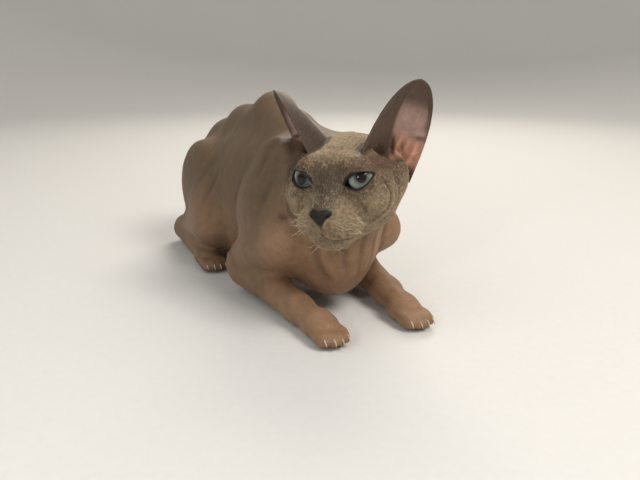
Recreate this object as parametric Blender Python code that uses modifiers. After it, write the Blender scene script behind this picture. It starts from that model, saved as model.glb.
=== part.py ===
"""A sphynx cat at life size, lying in a crouch on the floor with its head turned to its right.

The script's unit is the metre, with +Z up. The cat faces -Y and its left side is +X.
The origin is on the flat of the belly that rests on the floor. The tables below measure from a
point under the back's highest place, and the last step moves the cat to its origin.

Sizes below are in millimetres, as a modeller would measure a cat, and MM turns them to metres.
The flesh starts as balls and tapered limbs. They are joined by a voxel remesh, and every point
is then settled on one smooth blend of the same forms, so that muscles run into each other.
Thin cuts part it into the pieces that a person would name.
"""

import math
from dataclasses import dataclass

import bmesh
import bpy
import numpy as np
from mathutils import Euler, Matrix, Vector

MM = 0.001
GAP = 0.3

# The middle of the belly's flat. It becomes the origin once the cat is made
REST_POINT = (0, 42, 0)

HEAD_CENTRE = (-2.5, -150.6, 117.9)
HEAD_YAW = -53
HEAD_PITCH = 4
HEAD_ROLL = -3.5

EYE_CENTRE = (20.5, -25.4, 3.7)
EYE_RADIUS = 11.0
EYE_LOOK = (0.26, -0.965, 0.05)
EYE_SLANT = 18.5
EYE_HALF_LENGTH = 10.8
UPPER_LID_HEIGHT = 5.5
LOWER_LID_HEIGHT = 5.7
LOWER_LID_SHIFT = 0.2
LID_DEPTH = 1.5

EAR_BASES = {"left": (29.8, 3, 5.9), "right": (34.8, -0.4, 11.5)}
EAR_TIPS = {"left": (58, 4.5, 66.5), "right": (58.8, 1.5, 62.9)}
EAR_OPENINGS = {"left": (0.74, -0.58, -0.34), "right": (0.75, -0.58, -0.3)}
EAR_HALF_WIDTH = 27
EAR_ROOT = 12
EAR_WALL = 2.0
EAR_CUPS = {"left": 16, "right": 22}
HOLLOW_HEIGHT = 12
HOLLOW_FORWARD = 9.5
HOLLOW_RADII = (14, 9, 17)
EAR_COLUMNS = 8
EAR_ROWS = 12
EYE_SEGMENTS = 20
EYE_RINGS = 12
LID_CORNERS = 24
LID_BACK = 3
LID_FRONT = 30
NOSE_BACK = 49.5
NOSE_FRONT = 70

BODY_VOXEL = 2.0
HEAD_VOXEL = 1.2
BODY_TRIANGLES = 5600
HEAD_TRIANGLES = 7600
MOUTH_WIDTH = 1.4
SIDES = {"left": 1, "right": -1}
SHARP_ANGLE = 40

# The colour and the roughness of each kind of node
LOOKS = {
    "skin": ((0.20, 0.145, 0.105), 0.62),
    "head": ((0.22, 0.165, 0.115), 0.65),
    "ear": ((0.24, 0.15, 0.13), 0.6),
    "eye": ((0.36, 0.43, 0.40), 0.06),
    "nose": ((0.035, 0.024, 0.02), 0.45),
}

@dataclass
class Ball:
    """An ellipsoid with its centre, three radii and Euler turn in degrees."""

    centre: tuple
    radii: tuple
    turn: tuple = (0, 0, 0)
    blend: float = 12

    def mirrored(self):
        """The same form on the cat's other side."""
        x, y, z = self.centre
        rx, ry, rz = self.turn
        return Ball((-x, y, z), self.radii, (rx, -ry, -rz), self.blend)

    def rotation(self):
        return Euler([math.radians(a) for a in self.turn]).to_matrix()

    def distance(self, points):
        """Near the skin of the ellipsoid, how far each point is outside it."""
        local = (points - np.array(self.centre)) @ np.array(self.rotation())
        radii = np.array(self.radii, float)
        near = np.linalg.norm(local / radii, axis=1)
        far = np.linalg.norm(local / radii**2, axis=1)
        return near * (near - 1) / np.maximum(far, 1e-9)

    def reach(self):
        return np.array(self.centre, float), max(self.radii)

    def add_to(self, bm, segments=32):
        size = Matrix.Diagonal((*self.radii, 1))
        place = Matrix.Translation(self.centre) @ self.rotation().to_4x4() @ size
        bmesh.ops.create_uvsphere(
            bm, u_segments=segments, v_segments=segments * 5 // 8, radius=1, matrix=place
        )


@dataclass
class Limb:
    """A tapered limb with round ends, from start to end."""

    start: tuple
    end: tuple
    start_radius: float
    end_radius: float
    blend: float = 12

    def mirrored(self):
        """The same form on the cat's other side."""
        start = (-self.start[0], *self.start[1:])
        end = (-self.end[0], *self.end[1:])
        return Limb(start, end, self.start_radius, self.end_radius, self.blend)

    def distance(self, points):
        """How far each point is from the axis, less the radius there."""
        start = np.array(self.start, float)
        along = np.array(self.end, float) - start
        share = np.clip((points - start) @ along / (along @ along), 0, 1)
        radius = self.start_radius + (self.end_radius - self.start_radius) * share
        return np.linalg.norm(points - start - share[:, None] * along, axis=1) - radius

    def reach(self):
        start, end = np.array(self.start, float), np.array(self.end, float)
        half = np.linalg.norm(end - start) / 2
        return (start + end) / 2, half + max(self.start_radius, self.end_radius)

    def add_to(self, bm):
        start, end = Vector(self.start), Vector(self.end)
        for centre, radius in ((start, self.start_radius), (end, self.end_radius)):
            place = Matrix.Translation(centre)
            bmesh.ops.create_uvsphere(bm, u_segments=24, v_segments=16, radius=radius, matrix=place)
        turn = (end - start).to_track_quat("Z", "Y").to_matrix().to_4x4()
        bmesh.ops.create_cone(
            bm,
            cap_ends=True,
            segments=24,
            radius1=self.start_radius,
            radius2=self.end_radius,
            depth=(end - start).length,
            matrix=Matrix.Translation((start + end) / 2) @ turn,
        )


@dataclass
class Wedge:
    """A tapering form along Y with elliptical sections and round ends.

    Each station is a Y with the half width, the top and the bottom there. Between stations
    the three run on smooth cubic curves.
    """

    stations: list
    front_end: float
    back_end: float
    blend: float = 12

    def section(self, y):
        """Half width, middle height and half height at each y, and how far y is past an end."""
        table = np.array(self.stations, float)
        along = table[:, 0]
        inside = np.clip(y, along[0], along[-1])
        slopes = np.gradient(table[:, 1:], along, axis=0)
        place = np.clip(np.searchsorted(along, inside) - 1, 0, len(along) - 2)
        step = along[place + 1] - along[place]
        t = ((inside - along[place]) / step)[:, None]
        step = step[:, None]
        curve = (2 * t**3 - 3 * t**2 + 1) * table[place, 1:]
        curve += (t**3 - 2 * t**2 + t) * step * slopes[place]
        curve += (3 * t**2 - 2 * t**3) * table[place + 1, 1:]
        curve += (t**3 - t**2) * step * slopes[place + 1]
        width, top, bottom = curve.T
        past = (y - inside) / np.where(y < along[0], self.front_end, self.back_end)
        return width, (top + bottom) / 2, (top - bottom) / 2, past

    def distance(self, points):
        """Near the skin of the wedge, how far each point is outside it."""
        width, middle, height, past = self.section(points[:, 1])
        across = points[:, 0] / width
        upright = (points[:, 2] - middle) / height
        near = np.sqrt(across**2 + upright**2 + past**2)
        far = np.sqrt((across / width) ** 2 + (upright / height) ** 2 + (past / self.front_end) ** 2)
        return near * (near - 1) / np.maximum(far, 1e-9)

    def reach(self):
        low, high = self.stations[0][0], self.stations[-1][0]
        return np.array((0, (low + high) / 2, 0), float), (high - low) / 2 + 30

    def add_to(self, bm):
        """A ball whose points are moved onto the sections."""
        made = bmesh.ops.create_uvsphere(bm, u_segments=32, v_segments=20, radius=1)
        low = self.stations[0][0] - self.front_end
        high = self.stations[-1][0] + self.back_end
        for vert in made["verts"]:
            y = (low + high) / 2 + vert.co.y * (high - low) / 2
            width, middle, height, past = (v[0] for v in self.section(np.array([y])))
            ring = math.sqrt(max(1 - past * past, 0)) / max(math.hypot(vert.co.x, vert.co.z), 1e-6)
            if abs(vert.co.y) > 0.9999:
                ring = 0
            vert.co = (vert.co.x * ring * width, y, middle + vert.co.z * ring * height)


def smooth_route(places, values, steps):
    """More points on a smooth curve through the places, with a value at each one."""
    row = [np.array((*place, value), float) for place, value in zip(places, values)]
    row = [2 * row[0] - row[1], *row, 2 * row[-1] - row[-2]]
    out = []
    for p0, p1, p2, p3 in zip(row, row[1:], row[2:], row[3:]):
        for step in range(steps):
            t = step / steps
            curve = 2 * p1 + (p2 - p0) * t + (2 * p0 - 5 * p1 + 4 * p2 - p3) * t**2
            out.append((curve + (3 * p1 - p0 - 3 * p2 + p3) * t**3) / 2)
    out.append(row[-2])
    return out


@dataclass
class Chain:
    """Tapered limbs end to end along a smooth route, with no bulge where they meet."""

    places: list
    radii: list
    blend: float = 12

    def limbs(self):
        route = smooth_route(self.places, self.radii, 2)
        return [
            Limb(tuple(start[:3]), tuple(end[:3]), start[3], end[3])
            for start, end in zip(route, route[1:])
        ]

    def distance(self, points):
        return np.minimum.reduce([limb.distance(points) for limb in self.limbs()])

    def reach(self):
        places = np.array(self.places, float)
        centre = (places.min(axis=0) + places.max(axis=0)) / 2
        return centre, np.linalg.norm(places - centre, axis=1).max() + max(self.radii)

    def add_to(self, bm):
        for limb in self.limbs():
            limb.add_to(bm)


def both_sides(forms):
    return forms + [form.mirrored() for form in forms]


def toes(ball_of_foot, spread, length, radius):
    """Four toes side by side in front of the ball of the foot, the middle two further out."""
    x, y, z = ball_of_foot
    forms = []
    for place in (-1.5, -0.5, 0.5, 1.5):
        ahead = length * (1 - 0.16 * place * place)
        centre = (x + spread * place, y - ahead / 2, z)
        size = (radius, length * 0.62, radius * 1.25)
        forms.append(Ball(centre, size, (8, 0, -5 * place), blend=2.2))
    return forms


TRUNK = [
    Ball((0, -92, 70), (45, 58, 56), blend=20),
    Ball((0, -42, 80), (47, 70, 60), blend=24),
    Ball((0, 12, 86), (45, 72, 60), blend=24),
    Ball((0, 35, 58), (53, 74, 62), blend=24),
    Ball((0, 88, 84), (40, 58, 44), blend=24),
    Ball((0, 120, 72), (37, 34, 42), blend=20),
    Ball((0, -122, 52), (27, 34, 38), blend=20),
    Limb((0, -96, 116), (0, -48, 138), 13, 13, blend=22),
    Limb((0, -48, 138), (0, -8, 152), 13, 13, blend=22),
    Limb((0, -8, 152), (0, 62, 134), 13, 13, blend=22),
    Limb((0, 62, 134), (0, 112, 114), 13, 13, blend=22),
    Limb((0, 112, 114), (0, 144, 82), 13, 12, blend=22),
]
NECK = [
    Limb((0, -84, 104), (10, -128, 106), 38, 33, blend=20),
    Limb((10, -128, 104), (14, -134, 110), 30, 26, blend=18),
    Limb((0, -135, 66), (4, -142, 94), 24, 23, blend=18),
]
FORELEG = [
    Ball((35, -90, 98), (14, 34, 42), (12, 0, 0), blend=18),
    Ball((43, -78, 72), (18, 34, 32), (20, 0, 0), blend=18),
    Limb((42, -124, 64), (51, -56, 32), 18, 16, blend=16),
    Limb((50, -56, 22), (41, -140, 14), 16.5, 11.5, blend=10),
    Limb((41, -140, 13), (38, -168, 11), 11, 11, blend=8),
    Ball((37, -172, 9.5), (14, 16, 10), (0, 0, 0), blend=6),
    *toes((37, -182, 7.5), 6.4, 18, 4.6),
]
HINDLEG = [
    Ball((41, 82, 68), (21, 48, 48), (-14, 0, 0), blend=18),
    Ball((49, 40, 50), (17, 28, 31), (0, 0, 0), blend=16),
    Limb((54, 26, 42), (50, 128, 20), 17, 11, blend=12),
    Limb((52, 130, 14), (56, 52, 10), 11, 10, blend=8),
    Ball((57, 34, 9), (13, 20, 9.5), (0, 0, 0), blend=6),
    *toes((57, 22, 7.2), 6, 17, 4.5),
]
TAIL_ROUTE = [
    (0, 138, 66),
    (6, 160, 44),
    (24, 178, 22),
    (54, 183, 11),
    (84, 170, 8.6),
    (104, 140, 8),
    (112, 102, 7.4),
    (112, 62, 6.8),
    (106, 24, 6),
    (98, -10, 5),
    (90, -36, 4),
]
TAIL_RADII = [15, 13.5, 12.2, 11, 9.8, 9, 8.2, 7.4, 6.5, 5.4, 4.4]
TAIL = Chain(TAIL_ROUTE, TAIL_RADII, blend=8)

SKULL = [
    (-30, 31, 15, -38),
    (-24, 36, 20, -41),
    (-16, 40, 23.5, -41),
    (-6, 42.5, 26, -40),
    (5, 43, 27, -38),
    (18, 41, 26, -33),
    (30, 34, 21, -25),
    (40, 24, 14, -15),
]
HEAD = [
    Wedge(SKULL, 7, 8, blend=8),
    Limb((0, -28, -1), (0, -47.5, -13.5), 10.5, 7.5, blend=9),
    Ball((0, -51, -16.8), (8.2, 6.4, 6), blend=4),
    Ball((0, -38, -26), (17, 15, 13), blend=9),
    Ball((0, -40.5, -37), (10.5, 9.5, 8), blend=6),
]
HEAD_SIDES = [
    Ball((11.5, -42.5, -25.5), (11.5, 12, 9.5), (0, 0, -8), blend=7),
    Limb((6, -36, -36), (22, 0, -26), 8, 11, blend=9),
    Ball((30, -20, -12), (9, 12, 9), blend=10),
    Ball(EYE_CENTRE, (EYE_RADIUS + LID_DEPTH,) * 3, blend=6),
    Ball((15, -25, 15), (9, 7, 5), (0, 14, 0), blend=8),
]
NOSTRIL = Ball((5.2, -57.5, -17.6), (2.9, 4, 1.1), (0, -36, 0))
NOSE_OUTLINE = [(0, -12.6), (5, -12.4), (8.8, -13.6), (8, -16.8), (4.4, -20), (2, -23.6), (0, -25.2)]
MOUTH = [
    (0, -55, -32.4),
    (5, -53, -34.8),
    (11, -48, -35.6),
    (17, -40, -34.4),
    (21, -32, -32),
    (23.5, -25, -28.8),
]
PHILTRUM = [(0, -57.5, -24), (0, -56.5, -28), (0, -55, -32.4)]


NAPE_CUT = (0, -16, -46)
NAPE_SLOPE = 40.9
THROAT_CUT = (0, -150, 80)
THROAT_SLOPE = 48.5
CHEST_BACK = -52
RUMP_FRONT = 64
LEG_BLOCKS = [
    ("forepaw_", (14, -220, -5), (70, -156, 30)),
    ("forearm_", (24, -157, -5), (80, -30, 26)),
    ("hind_foot_", (42, -10, -5), (90, 62, 19)),
    ("shank_", (38, 61, -5), (90, 160, 24)),
]
LEG_BALLS = [
    ("shoulder_", Ball((58, -82, 72), (32, 46, 56))),
    ("thigh_", Ball((60, 74, 62), (34, 66, 58))),
]


def head_matrix():
    turn = Euler([math.radians(a) for a in (HEAD_PITCH, HEAD_ROLL, HEAD_YAW)])
    return Matrix.Translation(HEAD_CENTRE) @ turn.to_matrix().to_4x4()


def blended(first, second, width):
    """The lesser of two distances, rounded over where they differ by less than width."""
    near = np.maximum(width - np.abs(first - second), 0) / width
    return np.minimum(first, second) - near * near * width / 4


def joined(forms, points):
    """The blend of all the forms. A form far from a point is left out there."""
    total = np.full(len(points), 60.0)
    for form in forms:
        centre, reach = form.reach()
        near = np.linalg.norm(points - centre, axis=1) < reach + form.blend + 14
        if near.any():
            total[near] = blended(total[near], form.distance(points[near]), form.blend)
    return total


BODY_FORMS = TRUNK + NECK + both_sides(FORELEG) + both_sides(HINDLEG) + [TAIL]
HEAD_FORMS = HEAD + both_sides(HEAD_SIDES)
NECK_BLEND = 14


def flesh(points):
    """How far each point, in millimetres, is outside the whole cat's flesh."""
    body = joined(BODY_FORMS, points)
    frame = np.array(head_matrix())
    in_head = (points - frame[:3, 3]) @ frame[:3, :3]
    return blended(body, joined(HEAD_FORMS, in_head), NECK_BLEND)


def settle(mesh, field, steps=4, reach=3.0):
    """Move every point along the field's slope until it lies on the field's skin."""
    points = np.empty(len(mesh.vertices) * 3)
    mesh.vertices.foreach_get("co", points)
    points = points.reshape(-1, 3) / MM
    probe = 0.2
    for _ in range(steps):
        value = field(points)
        slope = np.empty_like(points)
        for axis in range(3):
            ahead = points.copy()
            ahead[:, axis] += probe
            slope[:, axis] = (field(ahead) - value) / probe
        steep = np.maximum((slope**2).sum(axis=1), 0.1)
        move = -slope * (value / steep)[:, None]
        length = np.maximum(np.linalg.norm(move, axis=1), 1e-9)
        points += move * np.minimum(1, reach / length)[:, None]
    mesh.vertices.foreach_set("co", (points * MM).ravel())
    mesh.update()


def evaluated_copy(obj, name):
    """A new mesh of the object with its modifiers applied."""
    graph = bpy.context.evaluated_depsgraph_get()
    mesh = bpy.data.meshes.new_from_object(obj.evaluated_get(graph))
    mesh.name = name
    return mesh


def apply_modifiers(obj):
    obj.data = evaluated_copy(obj, obj.name)
    obj.modifiers.clear()


def cast(name, groups, voxel, triangles, collection):
    """One closed mesh of the forms: voxel remesh, settled on the blend twice, then thinned."""
    mesh = bpy.data.meshes.new(name)
    bm = bmesh.new()
    for forms, place in groups:
        for form in forms:
            one = bmesh.new()
            form.add_to(one)
            bmesh.ops.transform(one, matrix=place, verts=one.verts)
            one.to_mesh(mesh)
            one.free()
            bm.from_mesh(mesh)
    bmesh.ops.scale(bm, vec=(MM, MM, MM), verts=bm.verts)
    bm.to_mesh(mesh)
    bm.free()
    obj = bpy.data.objects.new(name, mesh)
    collection.objects.link(obj)
    for _ in range(2):
        remesh = obj.modifiers.new("remesh", "REMESH")
        remesh.mode = "VOXEL"
        remesh.voxel_size = voxel * MM
        apply_modifiers(obj)
        settle(obj.data, flesh)
    thin = obj.modifiers.new("thin", "DECIMATE")
    thin.ratio = triangles / (2 * len(obj.data.polygons))
    apply_modifiers(obj)
    return obj


def eye_frame(side):
    """The eye's own frame: X to the outer corner, Y up across the lids, Z the way it looks."""
    look = Vector((side * EYE_LOOK[0], *EYE_LOOK[1:])).normalized()
    outward = Vector((side * -look.y, side * look.x, 0)).normalized()
    upward = look.cross(outward) * side
    slant = math.radians(EYE_SLANT)
    across = outward * math.cos(slant) + upward * math.sin(slant)
    over = upward * math.cos(slant) - outward * math.sin(slant)
    centre = (side * EYE_CENTRE[0], *EYE_CENTRE[1:])
    return Matrix.Translation(centre) @ Matrix((across, over, look)).transposed().to_4x4()


def lid_outline(count):
    """The almond between the lids. Each lid is an arch, and the lower one sags to the inside."""
    points = []
    for turn in range(count):
        angle = 2 * math.pi * turn / count
        x = math.cos(angle)
        if math.sin(angle) >= 0:
            y = UPPER_LID_HEIGHT * (1 - x * x) ** 0.8
        else:
            skew = (x + LOWER_LID_SHIFT) / (1 + math.copysign(LOWER_LID_SHIFT, x + LOWER_LID_SHIFT))
            y = -LOWER_LID_HEIGHT * max(1 - skew * skew, 0)
        points.append((x * EYE_HALF_LENGTH, y))
    return points


def eye_place(side):
    return head_matrix() @ eye_frame(SIDES[side])


def ear_point(side, u, v):
    """A point of the ear's sheet, u from -1 at the inner edge to 1, v along from the root.

    The width narrows towards the tip as one end of an oval, and the sheet bows back to a cup.
    """
    base, tip = Vector(EAR_BASES[side]), Vector(EAR_TIPS[side])
    axis = (tip - base).normalized()
    length = (tip - base).length
    opening = Vector(EAR_OPENINGS[side])
    opening = (opening - axis * opening.dot(axis)).normalized()
    across = axis.cross(opening)
    share = min(max(v / length, 0), 1)
    width = EAR_HALF_WIDTH * (1 - share**2.4) ** 0.5
    cup = EAR_CUPS[side] * (1 - share) ** 0.7 * (1 - u * u)
    point = base + axis * v + across * (u * width) - opening * cup
    return Vector((SIDES[side] * point.x, point.y, point.z))


def ear_hollow(side, collection):
    """A ball cutter for the foot of the ear's cup, which is sunk in the head."""
    middle = ear_point(side, 0, HOLLOW_HEIGHT)
    edges = ear_point(side, 1, HOLLOW_HEIGHT), ear_point(side, -1, HOLLOW_HEIGHT)
    across = (edges[0] - edges[1]).normalized()
    along = (ear_point(side, 0, HOLLOW_HEIGHT + 1) - middle).normalized()
    open_way = ((edges[0] + edges[1]) / 2 - middle).normalized()
    frame = Matrix((across, open_way, along)).transposed().to_4x4()
    place = head_matrix() @ Matrix.Translation(middle + open_way * HOLLOW_FORWARD) @ frame
    return ball("ear_hollow", Ball((0, 0, 0), HOLLOW_RADII), place, collection, 16)


def new_object(name, bm, collection):
    """A mesh object from a bmesh in millimetres, with its faces pointing out."""
    bmesh.ops.recalc_face_normals(bm, faces=bm.faces)
    bmesh.ops.scale(bm, vec=(MM, MM, MM), verts=bm.verts)
    mesh = bpy.data.meshes.new(name)
    bm.to_mesh(mesh)
    bm.free()
    obj = bpy.data.objects.new(name, mesh)
    collection.objects.link(obj)
    return obj


def ear(side, collection):
    """A cupped sheet with an even wall, rooted inside the head."""
    length = (Vector(EAR_TIPS[side]) - Vector(EAR_BASES[side])).length
    bm = bmesh.new()
    bmesh.ops.create_grid(bm, x_segments=EAR_COLUMNS, y_segments=EAR_ROWS, size=1)
    for vert in bm.verts:
        share = (vert.co.y + 1) / 2
        along = (length + EAR_ROOT) * math.sin(share * math.pi / 2) - EAR_ROOT
        vert.co = head_matrix() @ ear_point(side, vert.co.x, along)
    bmesh.ops.remove_doubles(bm, verts=bm.verts, dist=0.1)
    shell = new_object("ear_" + side, bm, collection)
    wall = shell.modifiers.new("wall", "SOLIDIFY")
    wall.thickness = EAR_WALL * MM
    wall.offset = 0
    apply_modifiers(shell)
    return shell


def eye_ball(name, side, radius, collection):
    """A ball at the eye's place, as a solid or as its socket's cutter."""
    bm = bmesh.new()
    bmesh.ops.create_uvsphere(
        bm, u_segments=EYE_SEGMENTS, v_segments=EYE_RINGS, radius=radius, matrix=eye_place(side)
    )
    return new_object(name, bm, collection)


def prism(name, outline, low, high, place, collection):
    """A straight solid over an outline of points, from low to high along the place's Z."""
    bm = bmesh.new()
    face = bm.faces.new([bm.verts.new((x, y, low)) for x, y in outline])
    grown = bmesh.ops.extrude_face_region(bm, geom=[face])
    top = [item for item in grown["geom"] if isinstance(item, bmesh.types.BMVert)]
    bmesh.ops.translate(bm, verts=top, vec=(0, 0, high - low))
    bmesh.ops.transform(bm, matrix=place, verts=bm.verts)
    return new_object(name, bm, collection)


def block(name, low, high, place, collection):
    """A box between two corners in the place's own frame."""
    low, high = Vector(low), Vector(high)
    size = Matrix.Diagonal((*(high - low), 1))
    bm = bmesh.new()
    bmesh.ops.create_cube(bm, size=1, matrix=place @ Matrix.Translation((low + high) / 2) @ size)
    return new_object(name, bm, collection)


def ball(name, form, place, collection, segments=16):
    bm = bmesh.new()
    form.add_to(bm, segments)
    bmesh.ops.transform(bm, matrix=place, verts=bm.verts)
    return new_object(name, bm, collection)


def on_skin(points):
    """Head-frame points moved onto the flesh, in the cat's frame."""
    mesh = bpy.data.meshes.new("path")
    mesh.from_pydata([(head_matrix() @ Vector(point)) * MM for point in points], [], [])
    settle(mesh, flesh, steps=8)
    return [vert.co / MM for vert in mesh.vertices]


def groove(name, points, width, collection):
    """A round cutter along points on the skin, half sunk in it."""
    curve = bpy.data.curves.new(name, "CURVE")
    curve.dimensions = "3D"
    curve.bevel_depth = width / 2 * MM
    curve.bevel_resolution = 1
    curve.use_fill_caps = True
    line = curve.splines.new("POLY")
    line.points.add(len(points) - 1)
    for place, point in zip(line.points, points):
        place.co = (*(point * MM), 1)
    rough = bpy.data.objects.new(name, curve)
    collection.objects.link(rough)
    mesh = evaluated_copy(rough, name)
    bpy.data.objects.remove(rough)
    bm = bmesh.new()
    bm.from_mesh(mesh)
    bmesh.ops.remove_doubles(bm, verts=bm.verts, dist=0.01 * MM)
    bmesh.ops.recalc_face_normals(bm, faces=bm.faces)
    bm.to_mesh(mesh)
    bm.free()
    cutter = bpy.data.objects.new(name, mesh)
    collection.objects.link(cutter)
    return cutter


def mirrored_outline(half):
    """A closed outline from its half at positive x, which runs from the middle to the middle."""
    return half + [(-x, z) for x, z in reversed(half[1:-1])]


def widened(outline, grow):
    """The outline moved out by the same distance all round."""
    corners = [Vector(point) for point in outline]
    area = sum(a.x * b.y - b.x * a.y for a, b in zip(corners, corners[1:] + corners[:1]))
    out = []
    for index, corner in enumerate(corners):
        before = (corner - corners[index - 1]).normalized()
        after = (corners[(index + 1) % len(corners)] - corner).normalized()
        along = (before + after).normalized()
        away = Vector((along.y, -along.x)) * math.copysign(1, area)
        spread = max(along.dot(after), 0.5)
        out.append(tuple(corner + away * grow / spread))
    return out


def finish(obj, look):
    """Give a node its own material, and shade its round skin smooth."""
    colour, roughness = look
    material = bpy.data.materials.new(obj.name)
    material.use_nodes = True
    shader = material.node_tree.nodes["Principled BSDF"]
    shader.inputs["Base Color"].default_value = (*colour, 1)
    shader.inputs["Roughness"].default_value = roughness
    shader.inputs["Metallic"].default_value = 0
    obj.data.materials.clear()
    obj.data.materials.append(material)
    obj.data.shade_smooth()
    obj.data.set_sharp_from_angle(angle=math.radians(SHARP_ANGLE))


def keep_largest(obj):
    """Only the closed surface with the most faces stays."""
    bm = bmesh.new()
    bm.from_mesh(obj.data)
    left = set(bm.verts)
    pieces = []
    while left:
        piece = set()
        front = [left.pop()]
        while front:
            vert = front.pop()
            piece.add(vert)
            for edge in vert.link_edges:
                other = edge.other_vert(vert)
                if other in left:
                    left.remove(other)
                    front.append(other)
        pieces.append(piece)
    pieces.sort(key=len)
    loose = [vert for piece in pieces[:-1] for vert in piece]
    bmesh.ops.delete(bm, geom=loose, context="VERTS")
    bm.to_mesh(obj.data)
    bm.free()


def cut(obj, cutter, operation="DIFFERENCE", solver="EXACT"):
    """A Boolean with the cutter, which then keeps the largest closed surface."""
    change = obj.modifiers.new("cut", "BOOLEAN")
    change.operation = operation
    change.solver = solver
    change.object = cutter
    apply_modifiers(obj)
    keep_largest(obj)
    cutter.hide_render = True
    cutter.display_type = "WIRE"


def grown_copy(obj, collection):
    """A cutter that stands outside the object by the gap."""
    cutter = bpy.data.objects.new(obj.name + "_clearance", obj.data.copy())
    collection.objects.link(cutter)
    grow = cutter.modifiers.new("grow", "DISPLACE")
    grow.strength = GAP * MM
    grow.mid_level = 0
    apply_modifiers(cutter)
    return cutter


def face_features(head, collection, cutters):
    """The nose leather as a part of its own, the nostrils, the lips' line and the philtrum."""
    ahead = head_matrix() @ Matrix.Rotation(math.radians(90), 4, "X")
    outline = mirrored_outline(NOSE_OUTLINE)

    def nose_cutter(grow):
        low = NOSE_BACK - grow
        return prism("nose_prism", widened(outline, grow), low, NOSE_FRONT, ahead, cutters)

    nose = part_off(head, "nose", nose_cutter, collection, "MANIFOLD")
    for nostril in (NOSTRIL, NOSTRIL.mirrored()):
        cutter = ball("nostril", nostril, head_matrix(), cutters, 8)
        cut(nose, cutter, solver="MANIFOLD")
        cut(head, cutter, solver="MANIFOLD")
    lips = [(-x, y, z) for x, y, z in reversed(MOUTH[1:])] + MOUTH
    cut(head, groove("mouth", on_skin(lips), MOUTH_WIDTH, cutters), solver="MANIFOLD")
    cut(head, groove("philtrum", on_skin(PHILTRUM), MOUTH_WIDTH, cutters), solver="MANIFOLD")


def part_off(rest, name, make_cutter, collection, solver="EXACT"):
    """Take the piece inside a cutter off the rest, and leave the gap between the two."""
    piece = bpy.data.objects.new(name, rest.data.copy())
    collection.objects.link(piece)
    cut(piece, make_cutter(0), "INTERSECT", solver)
    cut(rest, make_cutter(GAP), "DIFFERENCE", solver)
    return piece


def main():
    for obj in list(bpy.data.objects):
        bpy.data.objects.remove(obj)
    collection = bpy.data.collections.new("sphynx_cat")
    cutters = bpy.data.collections.new("cutters")
    for group in (collection, cutters):
        bpy.context.scene.collection.children.link(group)

    def cutting_block(name, low, high, place=Matrix()):
        """A maker of one box cutter, grown by the gap it is asked for."""

        def make(grow):
            wide = Vector((grow, grow, grow))
            return block(name, Vector(low) - wide, Vector(high) + wide, place, cutters)

        return make

    def cutting_ball(name, form):
        """A maker of one ball cutter, grown by the gap it is asked for."""

        def make(grow):
            radii = tuple(radius + grow for radius in form.radii)
            return ball(name, Ball(form.centre, radii, form.turn), Matrix(), cutters)

        return make

    whole = ((BODY_FORMS, Matrix()), (HEAD_FORMS, head_matrix()))
    round_neck = NECK + TRUNK[:2] + TRUNK[6:8] + both_sides(FORELEG[:3])
    near_head = ((round_neck, Matrix()), (HEAD_FORMS, head_matrix()))
    rest = cast("abdomen", whole, BODY_VOXEL, BODY_TRIANGLES, collection)
    cut(rest, block("floor", (-400, -400, -60), (400, 400, 0), Matrix(), cutters))

    nape = Matrix.Translation(NAPE_CUT) @ Matrix.Rotation(math.radians(NAPE_SLOPE), 4, "X")
    make_head = cutting_block("head_block", (-44, -90, 0), (44, 110, 130), head_matrix() @ nape)
    cut(rest, make_head(GAP))
    head = cast("head", near_head, HEAD_VOXEL, HEAD_TRIANGLES, collection)
    clearance = grown_copy(head, cutters)
    for side in SIDES:
        cut(ear(side, collection), clearance)
    cut(head, make_head(0), "INTERSECT")
    for side in SIDES:
        lids = prism("lids", lid_outline(LID_CORNERS), LID_BACK, LID_FRONT, eye_place(side), cutters)
        cut(head, lids)
        cut(head, eye_ball("socket", side, EYE_RADIUS + GAP, cutters))
        eye_ball("eye_" + side, side, EYE_RADIUS, collection)
    for side in SIDES:
        cut(head, ear_hollow(side, cutters), solver="MANIFOLD")
    face_features(head, collection, cutters)

    throat = Matrix.Translation(THROAT_CUT) @ Matrix.Rotation(math.radians(THROAT_SLOPE), 4, "X")
    part_off(rest, "neck", cutting_block("neck_block", (-90, -90, 0), (90, 160, 120), throat), collection)
    part_off(rest, "tail_4", cutting_block("tail_4_block", (80, -60, -5), (130, 20, 30)), collection)
    part_off(rest, "tail_3", cutting_block("tail_3_block", (80, 15, -5), (135, 106, 30)), collection)
    part_off(rest, "tail_2", cutting_block("tail_2_block", (66, 100, -5), (135, 200, 40)), collection)
    part_off(rest, "tail_1", cutting_block("tail_1_block", (-30, 160, -5), (80, 210, 70)), collection)
    for side, sign in SIDES.items():
        for name, low, high in LEG_BLOCKS:
            a, b = sign * low[0], sign * high[0]
            low = (min(a, b), *low[1:])
            high = (max(a, b), *high[1:])
            part_off(rest, name + side, cutting_block(name + "block", low, high), collection)
        for name, form in LEG_BALLS:
            form = form if sign > 0 else form.mirrored()
            part_off(rest, name + side, cutting_ball(name + "ball", form), collection)
    make_chest = cutting_block("chest_block", (-90, -220, -10), (90, CHEST_BACK, 200))
    part_off(rest, "chest", make_chest, collection)
    make_rump = cutting_block("rump_block", (-90, RUMP_FRONT, -10), (90, 220, 200))
    part_off(rest, "rump", make_rump, collection)

    for obj in [*collection.objects, *cutters.objects]:
        obj.data.transform(Matrix.Translation(-Vector(REST_POINT) * MM))
    for obj in collection.objects:
        kind = obj.name.split("_")[0]
        finish(obj, LOOKS.get(kind, LOOKS["skin"]))


if __name__ == "__main__":
    main()
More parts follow.
